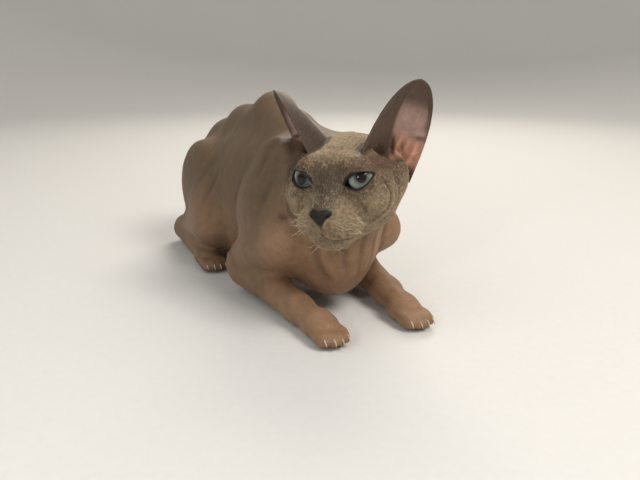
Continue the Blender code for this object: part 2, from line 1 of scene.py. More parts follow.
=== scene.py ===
"""Looks of a life-size sphynx cat that lies with its head turned to its right.

One skin covers all the nodes of flesh. It is the zero level of a field of balls, limbs and a lofted
skull, blended into each other, and it lies inside the solids by the depth of the down. Eyes, claws,
whiskers and the down itself are pieces of their own. Lengths are in millimetres unless a name says metres.
"""

import functools
import math
from contextlib import contextmanager
from dataclasses import dataclass

import bmesh
import bpy
import numpy as np
from mathutils import Euler, Matrix, Vector


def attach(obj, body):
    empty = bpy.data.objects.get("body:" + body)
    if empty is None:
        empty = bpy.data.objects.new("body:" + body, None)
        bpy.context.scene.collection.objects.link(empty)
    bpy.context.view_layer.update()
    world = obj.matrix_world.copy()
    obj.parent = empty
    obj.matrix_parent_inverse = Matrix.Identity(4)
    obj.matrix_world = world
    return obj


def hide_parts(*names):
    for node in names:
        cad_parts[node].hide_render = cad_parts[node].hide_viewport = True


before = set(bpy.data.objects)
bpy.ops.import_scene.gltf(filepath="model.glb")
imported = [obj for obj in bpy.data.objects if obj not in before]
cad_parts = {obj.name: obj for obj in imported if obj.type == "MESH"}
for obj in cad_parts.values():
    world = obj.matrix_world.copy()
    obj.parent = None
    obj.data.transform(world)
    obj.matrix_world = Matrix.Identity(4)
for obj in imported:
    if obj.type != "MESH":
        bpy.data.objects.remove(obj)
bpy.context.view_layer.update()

bl_info = {
    "name": "Sphynx cat",
    "version": (1, 0, 0),
    "blender": (4, 5, 0),
    "location": "3D View > Sidebar > Sphynx cat",
    "description": "Makes the skin, eyes, down, whiskers and claws of a lying sphynx cat",
    "category": "Object",
}

MM = 0.001

# The forms below are measured from a point under the back's highest place, as the solids' source
# does. The cat's origin is this point, the middle of the belly's flat
REST_POINT = (0, 42, 0)

# The photo's camera, in pixels of its 640 by 480 frame and in millimetres
PHOTO_WIDTH = 640
PHOTO_FOCAL_LENGTH = 700
CAMERA_PLACE = (-257.6, -603.2, 215.0)
CAMERA_WAY = (0.4364, 0.8565, -0.2756)
SIDES = {"left": 1, "right": -1}
EYE_NODES = ("eye_left", "eye_right")
FLESH_NODES = [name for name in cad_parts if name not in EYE_NODES]

# The head's place and turn in the cat's frame, in millimetres and degrees
HEAD_CENTRE = (-2.5, -150.6, 117.9)
HEAD_PITCH = 4
HEAD_ROLL = -3.5
HEAD_YAW = -53
HEAD_TURN = Euler([math.radians(angle) for angle in (HEAD_PITCH, HEAD_ROLL, HEAD_YAW)])
HEAD_PLACE = Matrix.Translation(HEAD_CENTRE) @ HEAD_TURN.to_matrix().to_4x4()

# The right eye is the left one mirrored in the head's own frame, where the nose points to -Y
EYE_CENTRE = (20.5, -25.4, 3.7)
EYE_RADIUS = 11.0
EYE_LOOK = (0.26, -0.965, 0.05)
EYE_SLANT = 18.5
EYE_HALF_LENGTH = 10.8
PUPIL_PLACES = {"left": (2.3, 2.0), "right": (-1.7, 0.7)}
UPPER_LID_HEIGHT = 5.5
LOWER_LID_HEIGHT = 5.7
LOWER_LID_SHIFT = 0.2
LID_DEPTH = 1.5
LID_RIM_RADIUS = 0.5
EYE_MAP_SIZE = 24

# Each ear is a cupped sheet from its base to its tip, open along the last vector
EAR_BASES = {"left": (29.8, 3, 5.9), "right": (34.8, -0.4, 11.5)}
EAR_TIPS = {"left": (58, 4.5, 66.5), "right": (58.8, 1.5, 62.9)}
EAR_OPENINGS = {"left": (0.74, -0.58, -0.34), "right": (0.75, -0.58, -0.3)}
EAR_HALF_WIDTH = 27
EAR_ROOT = 12
EAR_WALL = 1.5
EAR_CUPS = {"left": 16, "right": 22}
HOLLOW_HEIGHT = 12
HOLLOW_FORWARD = 9.5
HOLLOW_RADII = (14, 9, 17)

# The ear's ridges at the foot of the cup: place across, slope, height and half width of each
EAR_RIDGES = ((0.36, 0.25, 2.1, 0.07), (0.58, 0.45, 1.9, 0.065), (0.8, 0.1, 1.5, 0.05))
EAR_RIDGE_START = 0.16


def linear(code):
    """The linear colour of an sRGB hex value."""
    shares = (int(code[place : place + 2], 16) / 255 for place in (1, 3, 5))
    return tuple(((s + 0.055) / 1.055) ** 2.4 if s > 0.04045 else s / 12.92 for s in shares)


def rgba(code):
    """The linear colour of an sRGB hex value with an alpha of 1."""
    return (*linear(code), 1)


@dataclass
class Ball:
    """An ellipsoid with its centre, three radii and Euler turn in degrees."""

    centre: tuple
    radii: tuple
    turn: tuple = (0, 0, 0)
    blend: float = 12

    def mirrored(self):
        """The same form on the cat's other side."""
        x, y, z = self.centre
        rx, ry, rz = self.turn
        return Ball((-x, y, z), self.radii, (rx, -ry, -rz), self.blend)

    def distance(self, points):
        """Near the skin of the ellipsoid, how far each point is outside it."""
        turn = Euler([math.radians(angle) for angle in self.turn]).to_matrix()
        local = (points - np.array(self.centre)) @ np.array(turn)
        radii = np.array(self.radii, float)
        near = np.linalg.norm(local / radii, axis=1)
        far = np.linalg.norm(local / radii**2, axis=1)
        return near * (near - 1) / np.maximum(far, 1e-9)

    def reach(self):
        """The centre and radius of a ball that holds the form."""
        return np.array(self.centre, float), max(self.radii)


@dataclass
class Limb:
    """A tapered limb with round ends, from start to end."""

    start: tuple
    end: tuple
    start_radius: float
    end_radius: float
    blend: float = 12

    def mirrored(self):
        """The same form on the cat's other side."""
        start = (-self.start[0], *self.start[1:])
        end = (-self.end[0], *self.end[1:])
        return Limb(start, end, self.start_radius, self.end_radius, self.blend)

    def distance(self, points):
        """How far each point is from the axis, less the radius there."""
        start = np.array(self.start, float)
        along = np.array(self.end, float) - start
        share = np.clip((points - start) @ along / (along @ along), 0, 1)
        radius = self.start_radius + (self.end_radius - self.start_radius) * share
        return np.linalg.norm(points - start - share[:, None] * along, axis=1) - radius

    def reach(self):
        """The centre and radius of a ball that holds the form."""
        start, end = np.array(self.start, float), np.array(self.end, float)
        half = np.linalg.norm(end - start) / 2
        return (start + end) / 2, half + max(self.start_radius, self.end_radius)


@dataclass
class Wedge:
    """A tapering form along Y with elliptical sections and round ends.

    Each station is a Y with the half width, the top and the bottom there. Between stations
    the three run on smooth cubic curves.
    """

    stations: list
    front_end: float
    back_end: float
    blend: float = 12

    def section(self, y):
        """Half width, middle height and half height at each y, and how far y is past an end."""
        table = np.array(self.stations, float)
        along = table[:, 0]
        inside = np.clip(y, along[0], along[-1])
        slopes = np.gradient(table[:, 1:], along, axis=0)
        place = np.clip(np.searchsorted(along, inside) - 1, 0, len(along) - 2)
        step = along[place + 1] - along[place]
        t = ((inside - along[place]) / step)[:, None]
        step = step[:, None]
        curve = (2 * t**3 - 3 * t**2 + 1) * table[place, 1:]
        curve += (t**3 - 2 * t**2 + t) * step * slopes[place]
        curve += (3 * t**2 - 2 * t**3) * table[place + 1, 1:]
        curve += (t**3 - t**2) * step * slopes[place + 1]
        width, top, bottom = curve.T
        past = (y - inside) / np.where(y < along[0], self.front_end, self.back_end)
        return width, (top + bottom) / 2, (top - bottom) / 2, past

    def distance(self, points):
        """Near the skin of the wedge, how far each point is outside it."""
        width, middle, height, past = self.section(points[:, 1])
        across = points[:, 0] / width
        upright = (points[:, 2] - middle) / height
        near = np.sqrt(across**2 + upright**2 + past**2)
        far = np.sqrt((across / width) ** 2 + (upright / height) ** 2 + (past / self.front_end) ** 2)
        return near * (near - 1) / np.maximum(far, 1e-9)

    def reach(self):
        """The centre and radius of a ball that holds the form."""
        low, high = self.stations[0][0], self.stations[-1][0]
        return np.array((0, (low + high) / 2, 0), float), (high - low) / 2 + 30


def smooth_route(places, steps):
    """More points on a smooth curve through the rows of numbers, ends included."""
    row = [np.array(place, float) for place in places]
    row = [2 * row[0] - row[1], *row, 2 * row[-1] - row[-2]]
    t = (np.arange(steps) / steps)[:, None]
    out = []
    for p0, p1, p2, p3 in zip(row, row[1:], row[2:], row[3:]):
        curve = 2 * p1 + (p2 - p0) * t + (2 * p0 - 5 * p1 + 4 * p2 - p3) * t**2
        out.append((curve + (3 * p1 - p0 - 3 * p2 + p3) * t**3) / 2)
    return np.vstack([*out, row[-2]])


@dataclass
class Chain:
    """Tapered limbs end to end along a smooth route of rows x, y, z, radius."""

    route: list
    blend: float = 12

    def distance(self, points):
        """How far each point is outside the nearest limb."""
        route = smooth_route(self.route, 2)
        limbs = [Limb(tuple(a[:3]), tuple(b[:3]), a[3], b[3]) for a, b in zip(route, route[1:])]
        return np.minimum.reduce([limb.distance(points) for limb in limbs])

    def reach(self):
        """The centre and radius of a ball that holds the form."""
        table = np.array(self.route, float)
        centre = (table[:, :3].min(axis=0) + table[:, :3].max(axis=0)) / 2
        return centre, np.linalg.norm(table[:, :3] - centre, axis=1).max() + table[:, 3].max()


def both_sides(forms):
    """The forms of the left side with their mirror images."""
    return forms + [form.mirrored() for form in forms]


FRONT_TOES = ((37, -182, 7.5), 6.4, 18)
HIND_TOES = ((57, 22, 7.2), 6, 17)
TOE_PLACES = (-1.5, -0.5, 0.5, 1.5)


def toe_centre(ball_of_foot, spread, length, place):
    """The middle of a toe in front of the ball of the foot. The middle two toes are further out."""
    x, y, z = ball_of_foot
    return x + spread * place, y - length * (1 - 0.16 * place * place) / 2, z


def toes(foot, radius):
    """Four toes side by side."""
    size = (radius, foot[2] * 0.62, radius * 1.25)
    return [Ball(toe_centre(*foot, place), size, (8, 0, -5 * place), blend=2.2) for place in TOE_PLACES]


TRUNK = [
    Ball((0, -92, 70), (45, 58, 56), blend=20),
    Ball((0, -42, 80), (47, 70, 60), blend=24),
    Ball((0, 12, 86), (45, 72, 60), blend=24),
    Ball((0, 35, 58), (53, 74, 62), blend=24),
    Ball((0, 88, 84), (40, 58, 44), blend=24),
    Ball((0, 120, 72), (37, 34, 42), blend=20),
    Ball((0, -122, 52), (27, 34, 38), blend=20),
    Limb((0, -96, 116), (0, -48, 138), 13, 13, blend=22),
    Limb((0, -48, 138), (0, -8, 152), 13, 13, blend=22),
    Limb((0, -8, 152), (0, 62, 134), 13, 13, blend=22),
    Limb((0, 62, 134), (0, 112, 114), 13, 13, blend=22),
    Limb((0, 112, 114), (0, 144, 82), 13, 12, blend=22),
]
NECK = [
    Limb((0, -84, 104), (10, -128, 106), 38, 33, blend=20),
    Limb((10, -128, 104), (14, -134, 110), 30, 26, blend=18),
    Limb((0, -135, 66), (4, -142, 94), 24, 23, blend=18),
]
FORELEG = [
    Ball((35, -90, 98), (14, 34, 42), (12, 0, 0), blend=18),
    Ball((43, -78, 72), (18, 34, 32), (20, 0, 0), blend=18),
    Limb((42, -124, 64), (51, -56, 32), 18, 16, blend=16),
    Limb((50, -56, 22), (41, -140, 14), 16.5, 11.5, blend=10),
    Limb((41, -140, 13), (38, -168, 11), 11, 11, blend=8),
    Ball((37, -172, 9.5), (14, 16, 10), (0, 0, 0), blend=6),
    *toes(FRONT_TOES, 4.6),
]
HINDLEG = [
    Ball((41, 82, 68), (21, 48, 48), (-14, 0, 0), blend=18),
    Ball((49, 40, 50), (17, 28, 31), (0, 0, 0), blend=16),
    Limb((54, 26, 42), (50, 128, 20), 17, 11, blend=12),
    Limb((52, 130, 14), (56, 52, 10), 11, 10, blend=8),
    Ball((57, 34, 9), (13, 20, 9.5), (0, 0, 0), blend=6),
    *toes(HIND_TOES, 4.5),
]
TAIL = Chain(
    [
        (0, 138, 66, 15),
        (6, 160, 44, 13.5),
        (24, 178, 22, 12.2),
        (54, 183, 11, 11),
        (84, 170, 8.6, 9.8),
        (104, 140, 8, 9),
        (112, 102, 7.4, 8.2),
        (112, 62, 6.8, 7.4),
        (106, 24, 6, 6.5),
        (98, -10, 5, 5.4),
        (90, -36, 4, 4.4),
    ],
    blend=8,
)
SKULL = [
    (-30, 31, 15, -38),
    (-24, 36, 20, -41),
    (-16, 40, 23.5, -41),
    (-6, 42.5, 26, -40),
    (5, 43, 27, -38),
    (18, 41, 26, -33),
    (30, 34, 21, -25),
    (40, 24, 14, -15),
]
HEAD = [
    Wedge(SKULL, 7, 8, blend=8),
    Limb((0, -28, -1), (0, -47.5, -13.5), 10.5, 7.5, blend=9),
    Ball((0, -51, -16.8), (8.2, 6.4, 6), blend=4),
    Ball((0, -38, -26), (17, 15, 13), blend=9),
    Ball((0, -40.5, -37), (10.5, 9.5, 8), blend=6),
]
HEAD_SIDES = [
    Ball((11.5, -42.5, -25.5), (11.5, 12, 9.5), (0, 0, -8), blend=7),
    Limb((6, -36, -36), (22, 0, -26), 8, 11, blend=9),
    Ball((30, -20, -12), (9, 12, 9), blend=10),
    Ball(EYE_CENTRE, (EYE_RADIUS + LID_DEPTH,) * 3, blend=6),
    Ball((15, -25, 15), (9, 7, 5), (0, 14, 0), blend=8),
]
BODY_FORMS = TRUNK + NECK + both_sides(FORELEG) + both_sides(HINDLEG) + [TAIL]
HEAD_FORMS = HEAD + both_sides(HEAD_SIDES)
NECK_BLEND = 14

NOSE_OUTLINE = [(0, -12.6), (5, -12.4), (8.6, -14.6), (8, -16.8), (4.4, -20), (2, -23.6), (0, -25.2)]
NOSE_FRONT = -47
NOSTRIL_HEIGHT = -18.0
MOUTH = [
    (0, -55, -32.4),
    (5, -53, -34.8),
    (11, -48, -35.6),
    (17, -40, -34.4),
    (21, -32, -32),
    (23.5, -25, -28.8),
]
PHILTRUM = [(0, -57.5, -24), (0, -56.5, -28), (0, -55, -32.4)]


def into(place, points):
    """Points of the cat's frame in the frame of the place."""
    table = np.array(place)
    return (points - table[:3, 3]) @ table[:3, :3]


def out_of(place, points):
    """Points of the place's frame in the cat's frame."""
    table = np.array(place)
    return points @ table[:3, :3].T + table[:3, 3]


def blended(first, second, width):
    """The lesser of two distances, rounded over where they differ by less than width."""
    near = np.maximum(width - np.abs(first - second), 0) / width
    return np.minimum(first, second) - near * near * width / 4


def joined(forms, points):
    """The blend of all the forms. A form far from a point is left out there."""
    total = np.full(len(points), 60.0)
    for form in forms:
        centre, reach = form.reach()
        near = np.linalg.norm(points - centre, axis=1) < reach + form.blend + 14
        if near.any():
            total[near] = blended(total[near], form.distance(points[near]), form.blend)
    return total


def smooth(value, low, high):
    """0 below low, 1 above high, and an even cubic rise between. Low may be the greater one."""
    t = np.clip((value - low) / (high - low), 0, 1)
    return t * t * (3 - 2 * t)


def bell(value, middle, width):
    """1 at the middle, less on both sides of it, and about a third at the width."""
    return np.exp(-(((value - middle) / width) ** 2))


def turns(count):
    """Even angles once round, in radians."""
    return np.linspace(0, 2 * math.pi, count, endpoint=False)


def circles(first, second, angles):
    """For each pair of directions, a ring of points round it at those angles, of radius 1."""
    return first[:, None] * np.cos(angles)[None, :, None] + second[:, None] * np.sin(angles)[None, :, None]


def flesh(points):
    """How far each point is outside the whole cat's flesh, as the solids have it."""
    body = joined(BODY_FORMS, points)
    return blended(body, joined(HEAD_FORMS, into(HEAD_PLACE, points)), NECK_BLEND)


def settled(points, field, steps=4, reach=3.0):
    """The points moved along the field's slope until they lie on its zero level."""
    probe = 0.2
    points = points.copy()
    for _ in range(steps):
        value = field(points)
        slope = field_slope(points, value, field, probe)
        steep = np.maximum((slope**2).sum(axis=1), 0.1)
        move = -slope * (value / steep)[:, None]
        length = np.maximum(np.linalg.norm(move, axis=1), 1e-9)
        points += move * np.minimum(1, reach / length)[:, None]
    return points


def field_slope(points, value, field, probe):
    """The field's slope at each point, from a short step along each axis."""
    slope = np.empty_like(points)
    for axis in range(3):
        ahead = points.copy()
        ahead[:, axis] += probe
        slope[:, axis] = (field(ahead) - value) / probe
    return slope


def sampled(field, low, high, step):
    """The field on a grid of cubes, worked out only near its zero level, which a coarse grid finds."""
    wide = 3
    coarse_axes = [np.arange(a, b + wide * step, wide * step) for a, b in zip(low, high)]
    coarse = np.stack(np.meshgrid(*coarse_axes, indexing="ij"), axis=-1)
    value = field(coarse.reshape(-1, 3)).reshape(coarse.shape[:3])
    for axis in range(3):
        value = np.repeat(value, wide, axis=axis)
    fine_axes = [a + step * np.arange(count) for a, count in zip(low, value.shape)]
    near = np.argwhere(np.abs(value) < 3.2 * wide * step)
    places = np.stack([fine_axes[axis][near[:, axis]] for axis in range(3)], axis=1)
    value[tuple(near.T)] = field(places)
    return value


def closed_net(field, low, high, step):
    """Points and four-sided faces where the field changes sign on a grid of cubes.

    Each cube that the level passes gets one point, the mean of the crossings on its edges. Each
    crossed edge gets one face through the four cubes round it, turned to the outside.
    """
    value = sampled(field, low, high, step)
    shape = value.shape
    total = np.zeros((value.size, 3))
    count = np.zeros(value.size)
    faces = []
    for axis in range(3):
        before = np.moveaxis(np.moveaxis(value, axis, 0)[:-1], 0, axis)
        after = np.moveaxis(np.moveaxis(value, axis, 0)[1:], 0, axis)
        crossed = (before < 0) != (after < 0)
        index = np.argwhere(crossed)
        place = index.astype(float)
        place[:, axis] += before[crossed] / (before[crossed] - after[crossed])
        first, second = (other for other in range(3) if other != axis)
        ring = []
        for back_first, back_second in ((0, 0), (1, 0), (1, 1), (0, 1)):
            cube = index.copy()
            cube[:, first] -= back_first
            cube[:, second] -= back_second
            flat = np.ravel_multi_index(cube.T, shape)
            for part in range(3):
                total[:, part] += np.bincount(flat, place[:, part], value.size)
            count += np.bincount(flat, minlength=value.size)
            ring.append(flat)
        ring = np.stack(ring, axis=1)
        turned = (before[crossed] < 0) == (axis == 1)
        ring[turned] = ring[turned, ::-1]
        faces.append(ring)
    used = np.flatnonzero(count)
    number = np.full(value.size, -1)
    number[used] = np.arange(len(used))
    points = total[used] / count[used, None] * step + np.array(low, float)
    return points, number[np.vstack(faces)]


def mesh_of(name, points, *face_tables):
    """A mesh of points in millimetres and tables of faces, each table with one count of corners."""
    mesh = bpy.data.meshes.new(name)
    mesh.vertices.add(len(points))
    mesh.vertices.foreach_set("co", ((np.asarray(points) - REST_POINT) * MM).astype(np.float32).ravel())
    corners = np.concatenate([np.asarray(table).ravel() for table in face_tables])
    counts = np.concatenate([np.full(len(table), np.shape(table)[1]) for table in face_tables])
    mesh.loops.add(len(corners))
    mesh.loops.foreach_set("vertex_index", corners.astype(np.int32))
    mesh.polygons.add(len(counts))
    mesh.polygons.foreach_set("loop_start", (np.cumsum(counts) - counts).astype(np.int32))
    mesh.update(calc_edges=True)
    mesh.validate()
    return mesh


def rows_of(items, name):
    """A property of three numbers of every point or face, one row for each."""
    values = np.empty(len(items) * 3, np.float32)
    items.foreach_get(name, values)
    return values.reshape(-1, 3).astype(float)


def points_of(mesh):
    """The mesh's points in millimetres, in the frame that the forms are measured in."""
    return rows_of(mesh.vertices, "co") / MM + REST_POINT


def normals_of(mesh):
    """The skin's way out at each point."""
    return rows_of(mesh.vertices, "normal")


def move_points(mesh, points):
    """Puts the mesh's points at new places in millimetres."""
    mesh.vertices.foreach_set("co", ((points - REST_POINT) * MM).astype(np.float32).ravel())
    mesh.update()


def ring_surface(rings, loop=False):
    """The points and faces of a surface through closed rings, an array of rings by points by 3.

    Each ring joins the next point by point. A loop joins the last ring to the first. Otherwise
    fans of triangles close the two ends on their middles.
    """
    count, around = rings.shape[:2]
    points = rings.reshape(-1, 3)
    row = np.arange(count if loop else count - 1)[:, None]
    column = np.arange(around)[None, :]
    ahead = (row + 1) % count
    beside = (column + 1) % around
    row, ahead = row * around, ahead * around
    quads = np.stack([row + column, row + beside, ahead + beside, ahead + column], axis=-1).reshape(-1, 4)
    if loop:
        return points, quads, np.empty((0, 3), int)
    ends = np.vstack([rings[0].mean(axis=0), rings[-1].mean(axis=0)])
    edge = np.arange(around)
    start = np.stack([np.full(around, len(points)), np.roll(edge, -1), edge], axis=1)
    last = (count - 1) * around
    finish = np.stack([np.full(around, len(points) + 1), last + edge, last + np.roll(edge, -1)], axis=1)
    return np.vstack([points, ends]), quads, np.vstack([start, finish])


def object_of(name, mesh):
    """The mesh as an object of the scene, at the origin, unturned and shaded smooth."""
    obj = bpy.data.objects.new(name, mesh)
    bpy.context.scene.collection.objects.link(obj)
    mesh.shade_smooth()
    return obj


@contextmanager
def edited(mesh):
    """The mesh opened for a change, which is then written back."""
    bm = bmesh.new()
    bm.from_mesh(mesh)
    yield bm
    bm.to_mesh(mesh)
    bm.free()


def outward(mesh):
    """The closed mesh, its double points joined and its faces turned to the outside."""
    with edited(mesh) as bm:
        bmesh.ops.remove_doubles(bm, verts=bm.verts, dist=0.01 * MM)
        bmesh.ops.recalc_face_normals(bm, faces=bm.faces)
    return mesh


def ring_mesh(name, rings, place, loop=False):
    """A closed mesh through rings given in the frame of a place."""
    placed = out_of(place, rings.reshape(-1, 3)).reshape(rings.shape)
    return outward(mesh_of(name, *ring_surface(placed, loop)))


def tube_mesh(name, tubes):
    """One mesh of many closed tubes, each of them an array of rings."""
    surfaces = [ring_surface(rings) for rings in tubes]
    first = np.cumsum([0] + [len(points) for points, _, _ in surfaces[:-1]])
    points = np.vstack([points for points, _, _ in surfaces])
    sides = np.vstack([quads + start for (_, quads, _), start in zip(surfaces, first)])
    ends = np.vstack([caps + start for (_, _, caps), start in zip(surfaces, first)])
    return outward(mesh_of(name, points, sides, ends))


def combine(obj, other, operation):
    """Cuts or joins the object by another closed one, which is then removed."""
    change = obj.modifiers.new("combine", "BOOLEAN")
    change.operation = operation
    change.solver = "MANIFOLD"
    change.object = other
    graph = bpy.context.evaluated_depsgraph_get()
    mesh = bpy.data.meshes.new_from_object(obj.evaluated_get(graph))
    obj.modifiers.clear()
    obj.data = mesh
    bpy.data.objects.remove(other)


def merged(name, meshes):
    """One object of several closed meshes."""
    bm = bmesh.new()
    for mesh in meshes:
        bm.from_mesh(mesh)
    mesh = bpy.data.meshes.new(name)
    bm.to_mesh(mesh)
    bm.free()
    return object_of(name, mesh)


def refine(mesh, chosen):
    """Splits the chosen faces of the mesh in four."""
    with edited(mesh) as bm:
        bm.faces.ensure_lookup_table()
        faces = [bm.faces[index] for index in np.flatnonzero(chosen)]
        edges = {edge for face in faces for edge in face.edges}
        bmesh.ops.subdivide_edges(bm, edges=list(edges), cuts=1, use_grid_fill=True)
    mesh.update()


def eye_matrix(side):
    """The eye's own frame: X to the outer corner, Y up across the lids, Z the way it looks."""
    sign = SIDES[side]
    look = Vector((sign * EYE_LOOK[0], *EYE_LOOK[1:])).normalized()
    outer = Vector((sign * -look.y, sign * look.x, 0)).normalized()
    upward = look.cross(outer) * sign
    slant = math.radians(EYE_SLANT)
    across = outer * math.cos(slant) + upward * math.sin(slant)
    over = upward * math.cos(slant) - outer * math.sin(slant)
    centre = (sign * EYE_CENTRE[0], *EYE_CENTRE[1:])
    turn = Matrix((across, over, look)).transposed().to_4x4()
    return HEAD_PLACE @ Matrix.Translation(centre) @ turn


def lid_heights(x):
    """Where the lids end across the eye: each is an arch, and the lower one sags to the inside.

    X is 0 at the eye's middle and 1 and -1 at its corners.
    """
    over = UPPER_LID_HEIGHT * np.maximum(1 - x * x, 0) ** 0.8
    skew = (x + LOWER_LID_SHIFT) / (1 + np.sign(x + LOWER_LID_SHIFT) * LOWER_LID_SHIFT)
    return over, -LOWER_LID_HEIGHT * np.maximum(1 - skew * skew, 0)


def lid_outline(count):
    """The almond between the lids, as points."""
    angle = turns(count)
    x = np.cos(angle)
    over, under = lid_heights(x)
    return np.stack([x * EYE_HALF_LENGTH, np.where(np.sin(angle) >= 0, over, under)], axis=1)


def lid_distance(points, side):
    """How far points are from the almond's edge, less inside it, and the points in the eye's frame."""
    local = into(eye_matrix(side), points)
    outline = lid_outline(96)
    apart = np.linalg.norm(local[:, None, :2] - outline[None], axis=2).min(axis=1)
    over, under = lid_heights(np.clip(local[:, 0] / EYE_HALF_LENGTH, -1, 1))
    inside = (local[:, 1] < over) & (local[:, 1] > under) & (np.abs(local[:, 0]) < EYE_HALF_LENGTH)
    return np.where(inside, -apart, apart), local


def ear_axes(side):
    """The left-handed ear's base, unit axes along, to the opening and across, and its length."""
    base, tip = np.array(EAR_BASES[side], float), np.array(EAR_TIPS[side], float)
    length = np.linalg.norm(tip - base)
    axis = (tip - base) / length
    opening = np.array(EAR_OPENINGS[side], float)
    opening -= axis * (opening @ axis)
    opening /= np.linalg.norm(opening)
    return base, axis, opening, np.cross(axis, opening), length


def ear_half_width(share):
    """Half the ear's width at a share of its length. It narrows to the tip as one end of an oval."""
    return EAR_HALF_WIDTH * (1 - share**2.4) ** 0.5


def ear_bow(side, share, u):
    """How far the ear's sheet bows back from a flat one, most in its middle and at its foot."""
    return EAR_CUPS[side] * (1 - share) ** 0.7 * (1 - u**2)


def ear_sheet(side, u, v):
    """Points of the ear's middle sheet in the head's frame.

    U runs across from -1 at the inner edge to 1, and v along from the base in millimetres.
    """
    base, axis, opening, across, length = ear_axes(side)
    share = np.clip(v / length, 0, 1)
    beside = across * (u * ear_half_width(share))[..., None]
    points = base + axis * v[..., None] + beside - opening * ear_bow(side, share, u)[..., None]
    return points * np.array((SIDES[side], 1, 1))


def hollow_matrix(side):
    """The frame of the ball that hollows the head at the foot of the ear's cup."""
    spot = np.array([HOLLOW_HEIGHT, HOLLOW_HEIGHT, HOLLOW_HEIGHT, HOLLOW_HEIGHT + 1.0])
    middle, inner, outer, above = ear_sheet(side, np.array([0, -1.0, 1.0, 0]), spot)
    across = Vector(outer - inner).normalized()
    along = Vector(above - middle).normalized()
    open_way = Vector((outer + inner) / 2 - middle).normalized()
    turn = Matrix((across, open_way, along)).transposed().to_4x4()
    return HEAD_PLACE @ Matrix.Translation(Vector(middle) + open_way * HOLLOW_FORWARD) @ turn


HOLLOW_PLACES = {side: hollow_matrix(side) for side in SIDES}


def skin_field(points):
    """The flesh less the depth of the down, with the feet of the ears' cups hollowed softly."""
    value = flesh(points) + bpy.context.scene.sphynx_cat.coat_depth / MM
    for place in HOLLOW_PLACES.values():
        local = into(place, points)
        near = np.linalg.norm(local, axis=1) < 30
        hollow = Ball((0, 0, 0), HOLLOW_RADII).distance(local[near])
        value[near] = -blended(-value[near], hollow, 3)
    return value


def noise(points, size, seed):
    """Smooth values from 0 to 1 on a lattice of that size in millimetres, repeated every 32 cells."""
    lattice = np.random.default_rng(seed).random((32, 32, 32))
    place = points / size
    cell = np.floor(place).astype(int)
    t = place - cell
    t = t * t * (3 - 2 * t)
    total = np.zeros(len(points))
    for corner in np.ndindex(2, 2, 2):
        share = np.prod([t[:, k] if corner[k] else 1 - t[:, k] for k in range(3)], axis=0)
        index = (cell + np.array(corner)) % 32
        total += share * lattice[index[:, 0], index[:, 1], index[:, 2]]
    return total


@dataclass
class Fold:
    """A crease along a smooth line on the skin, with a soft roll on each side of it.

    The line is given in the head's frame or in the cat's. The crease is deepest in its middle
    and fades to both ends. A negative depth makes a roll instead of a crease.
    """

    line: list
    depth: float
    width: float
    on_head: bool = True

    def mirrored(self):
        """The same fold on the other side."""
        return Fold([(-x, y, z) for x, y, z in self.line], self.depth, self.width, self.on_head)

    def route(self):
        """The line as close points in the cat's frame."""
        route = smooth_route(self.line, 8)
        return out_of(HEAD_PLACE, route) if self.on_head else route

    def height(self, points, route, spread=1.0):
        """How far the skin moves out at each point, for the fold's route laid on the skin."""
        middle = (route.min(axis=0) + route.max(axis=0)) / 2
        reach = np.linalg.norm(route - middle, axis=1).max() + 5 * self.width
        near = np.flatnonzero(np.linalg.norm(points - middle, axis=1) < reach)
        out = np.zeros(len(points))
        apart, place = nearest_on(points[near], route)
        distance = apart / self.width / spread
        fade = np.sin(math.pi * np.clip(place, 0.02, 0.98)) ** 0.7
        out[near] = self.depth * fade * (0.45 * bell(distance, 2.0, 1.1) - bell(distance, 0, 1))
        return out


def forehead_folds():
    """Fine lengthwise folds between the ears, spread as a fan from the brow to the crown."""
    folds = []
    for index in range(-4, 5):
        x = index * 4.1
        depth = 0.75 if index % 2 else 0.5
        line = [
            (x * 0.62, -26 + 0.5 * abs(index), 12),
            (x * 0.85, -14, 21),
            (x + 0.8 * (-1) ** index, -2, 27),
            (x * 1.1, 9, 27),
        ]
        folds.append(Fold(line, depth, 0.95))
    return folds


def eye_folds():
    """Folds that ring the eye, at growing distances under it, and the crease over the upper lid."""
    folds = []
    for ring, (grow, depth) in enumerate(((1.34, 0.75), (1.7, 0.85), (2.1, 0.8))):
        angle = np.radians(np.linspace(205, 352, 7))
        x = EYE_HALF_LENGTH * (0.86 + 0.14 * ring + 0.16) * np.cos(angle)
        y = LOWER_LID_HEIGHT * grow * np.sin(angle) - 0.6 * ring
        folds.append((x, y, depth, 0.9 + 0.12 * ring))
    angle = np.radians(np.linspace(8, 168, 7))
    x = EYE_HALF_LENGTH * 1.02 * np.cos(angle)
    y = 1.2 + UPPER_LID_HEIGHT * 1.28 * np.sin(angle)
    folds.append((x, y, 0.6, 0.9))
    out = []
    for x, y, depth, width in folds:
        flat = np.stack([x, y, np.full(len(x), EYE_RADIUS)], axis=1)
        line = into(HEAD_PLACE, out_of(eye_matrix("left"), flat))
        out.append(Fold([tuple(point) for point in line], depth, width))
    return out


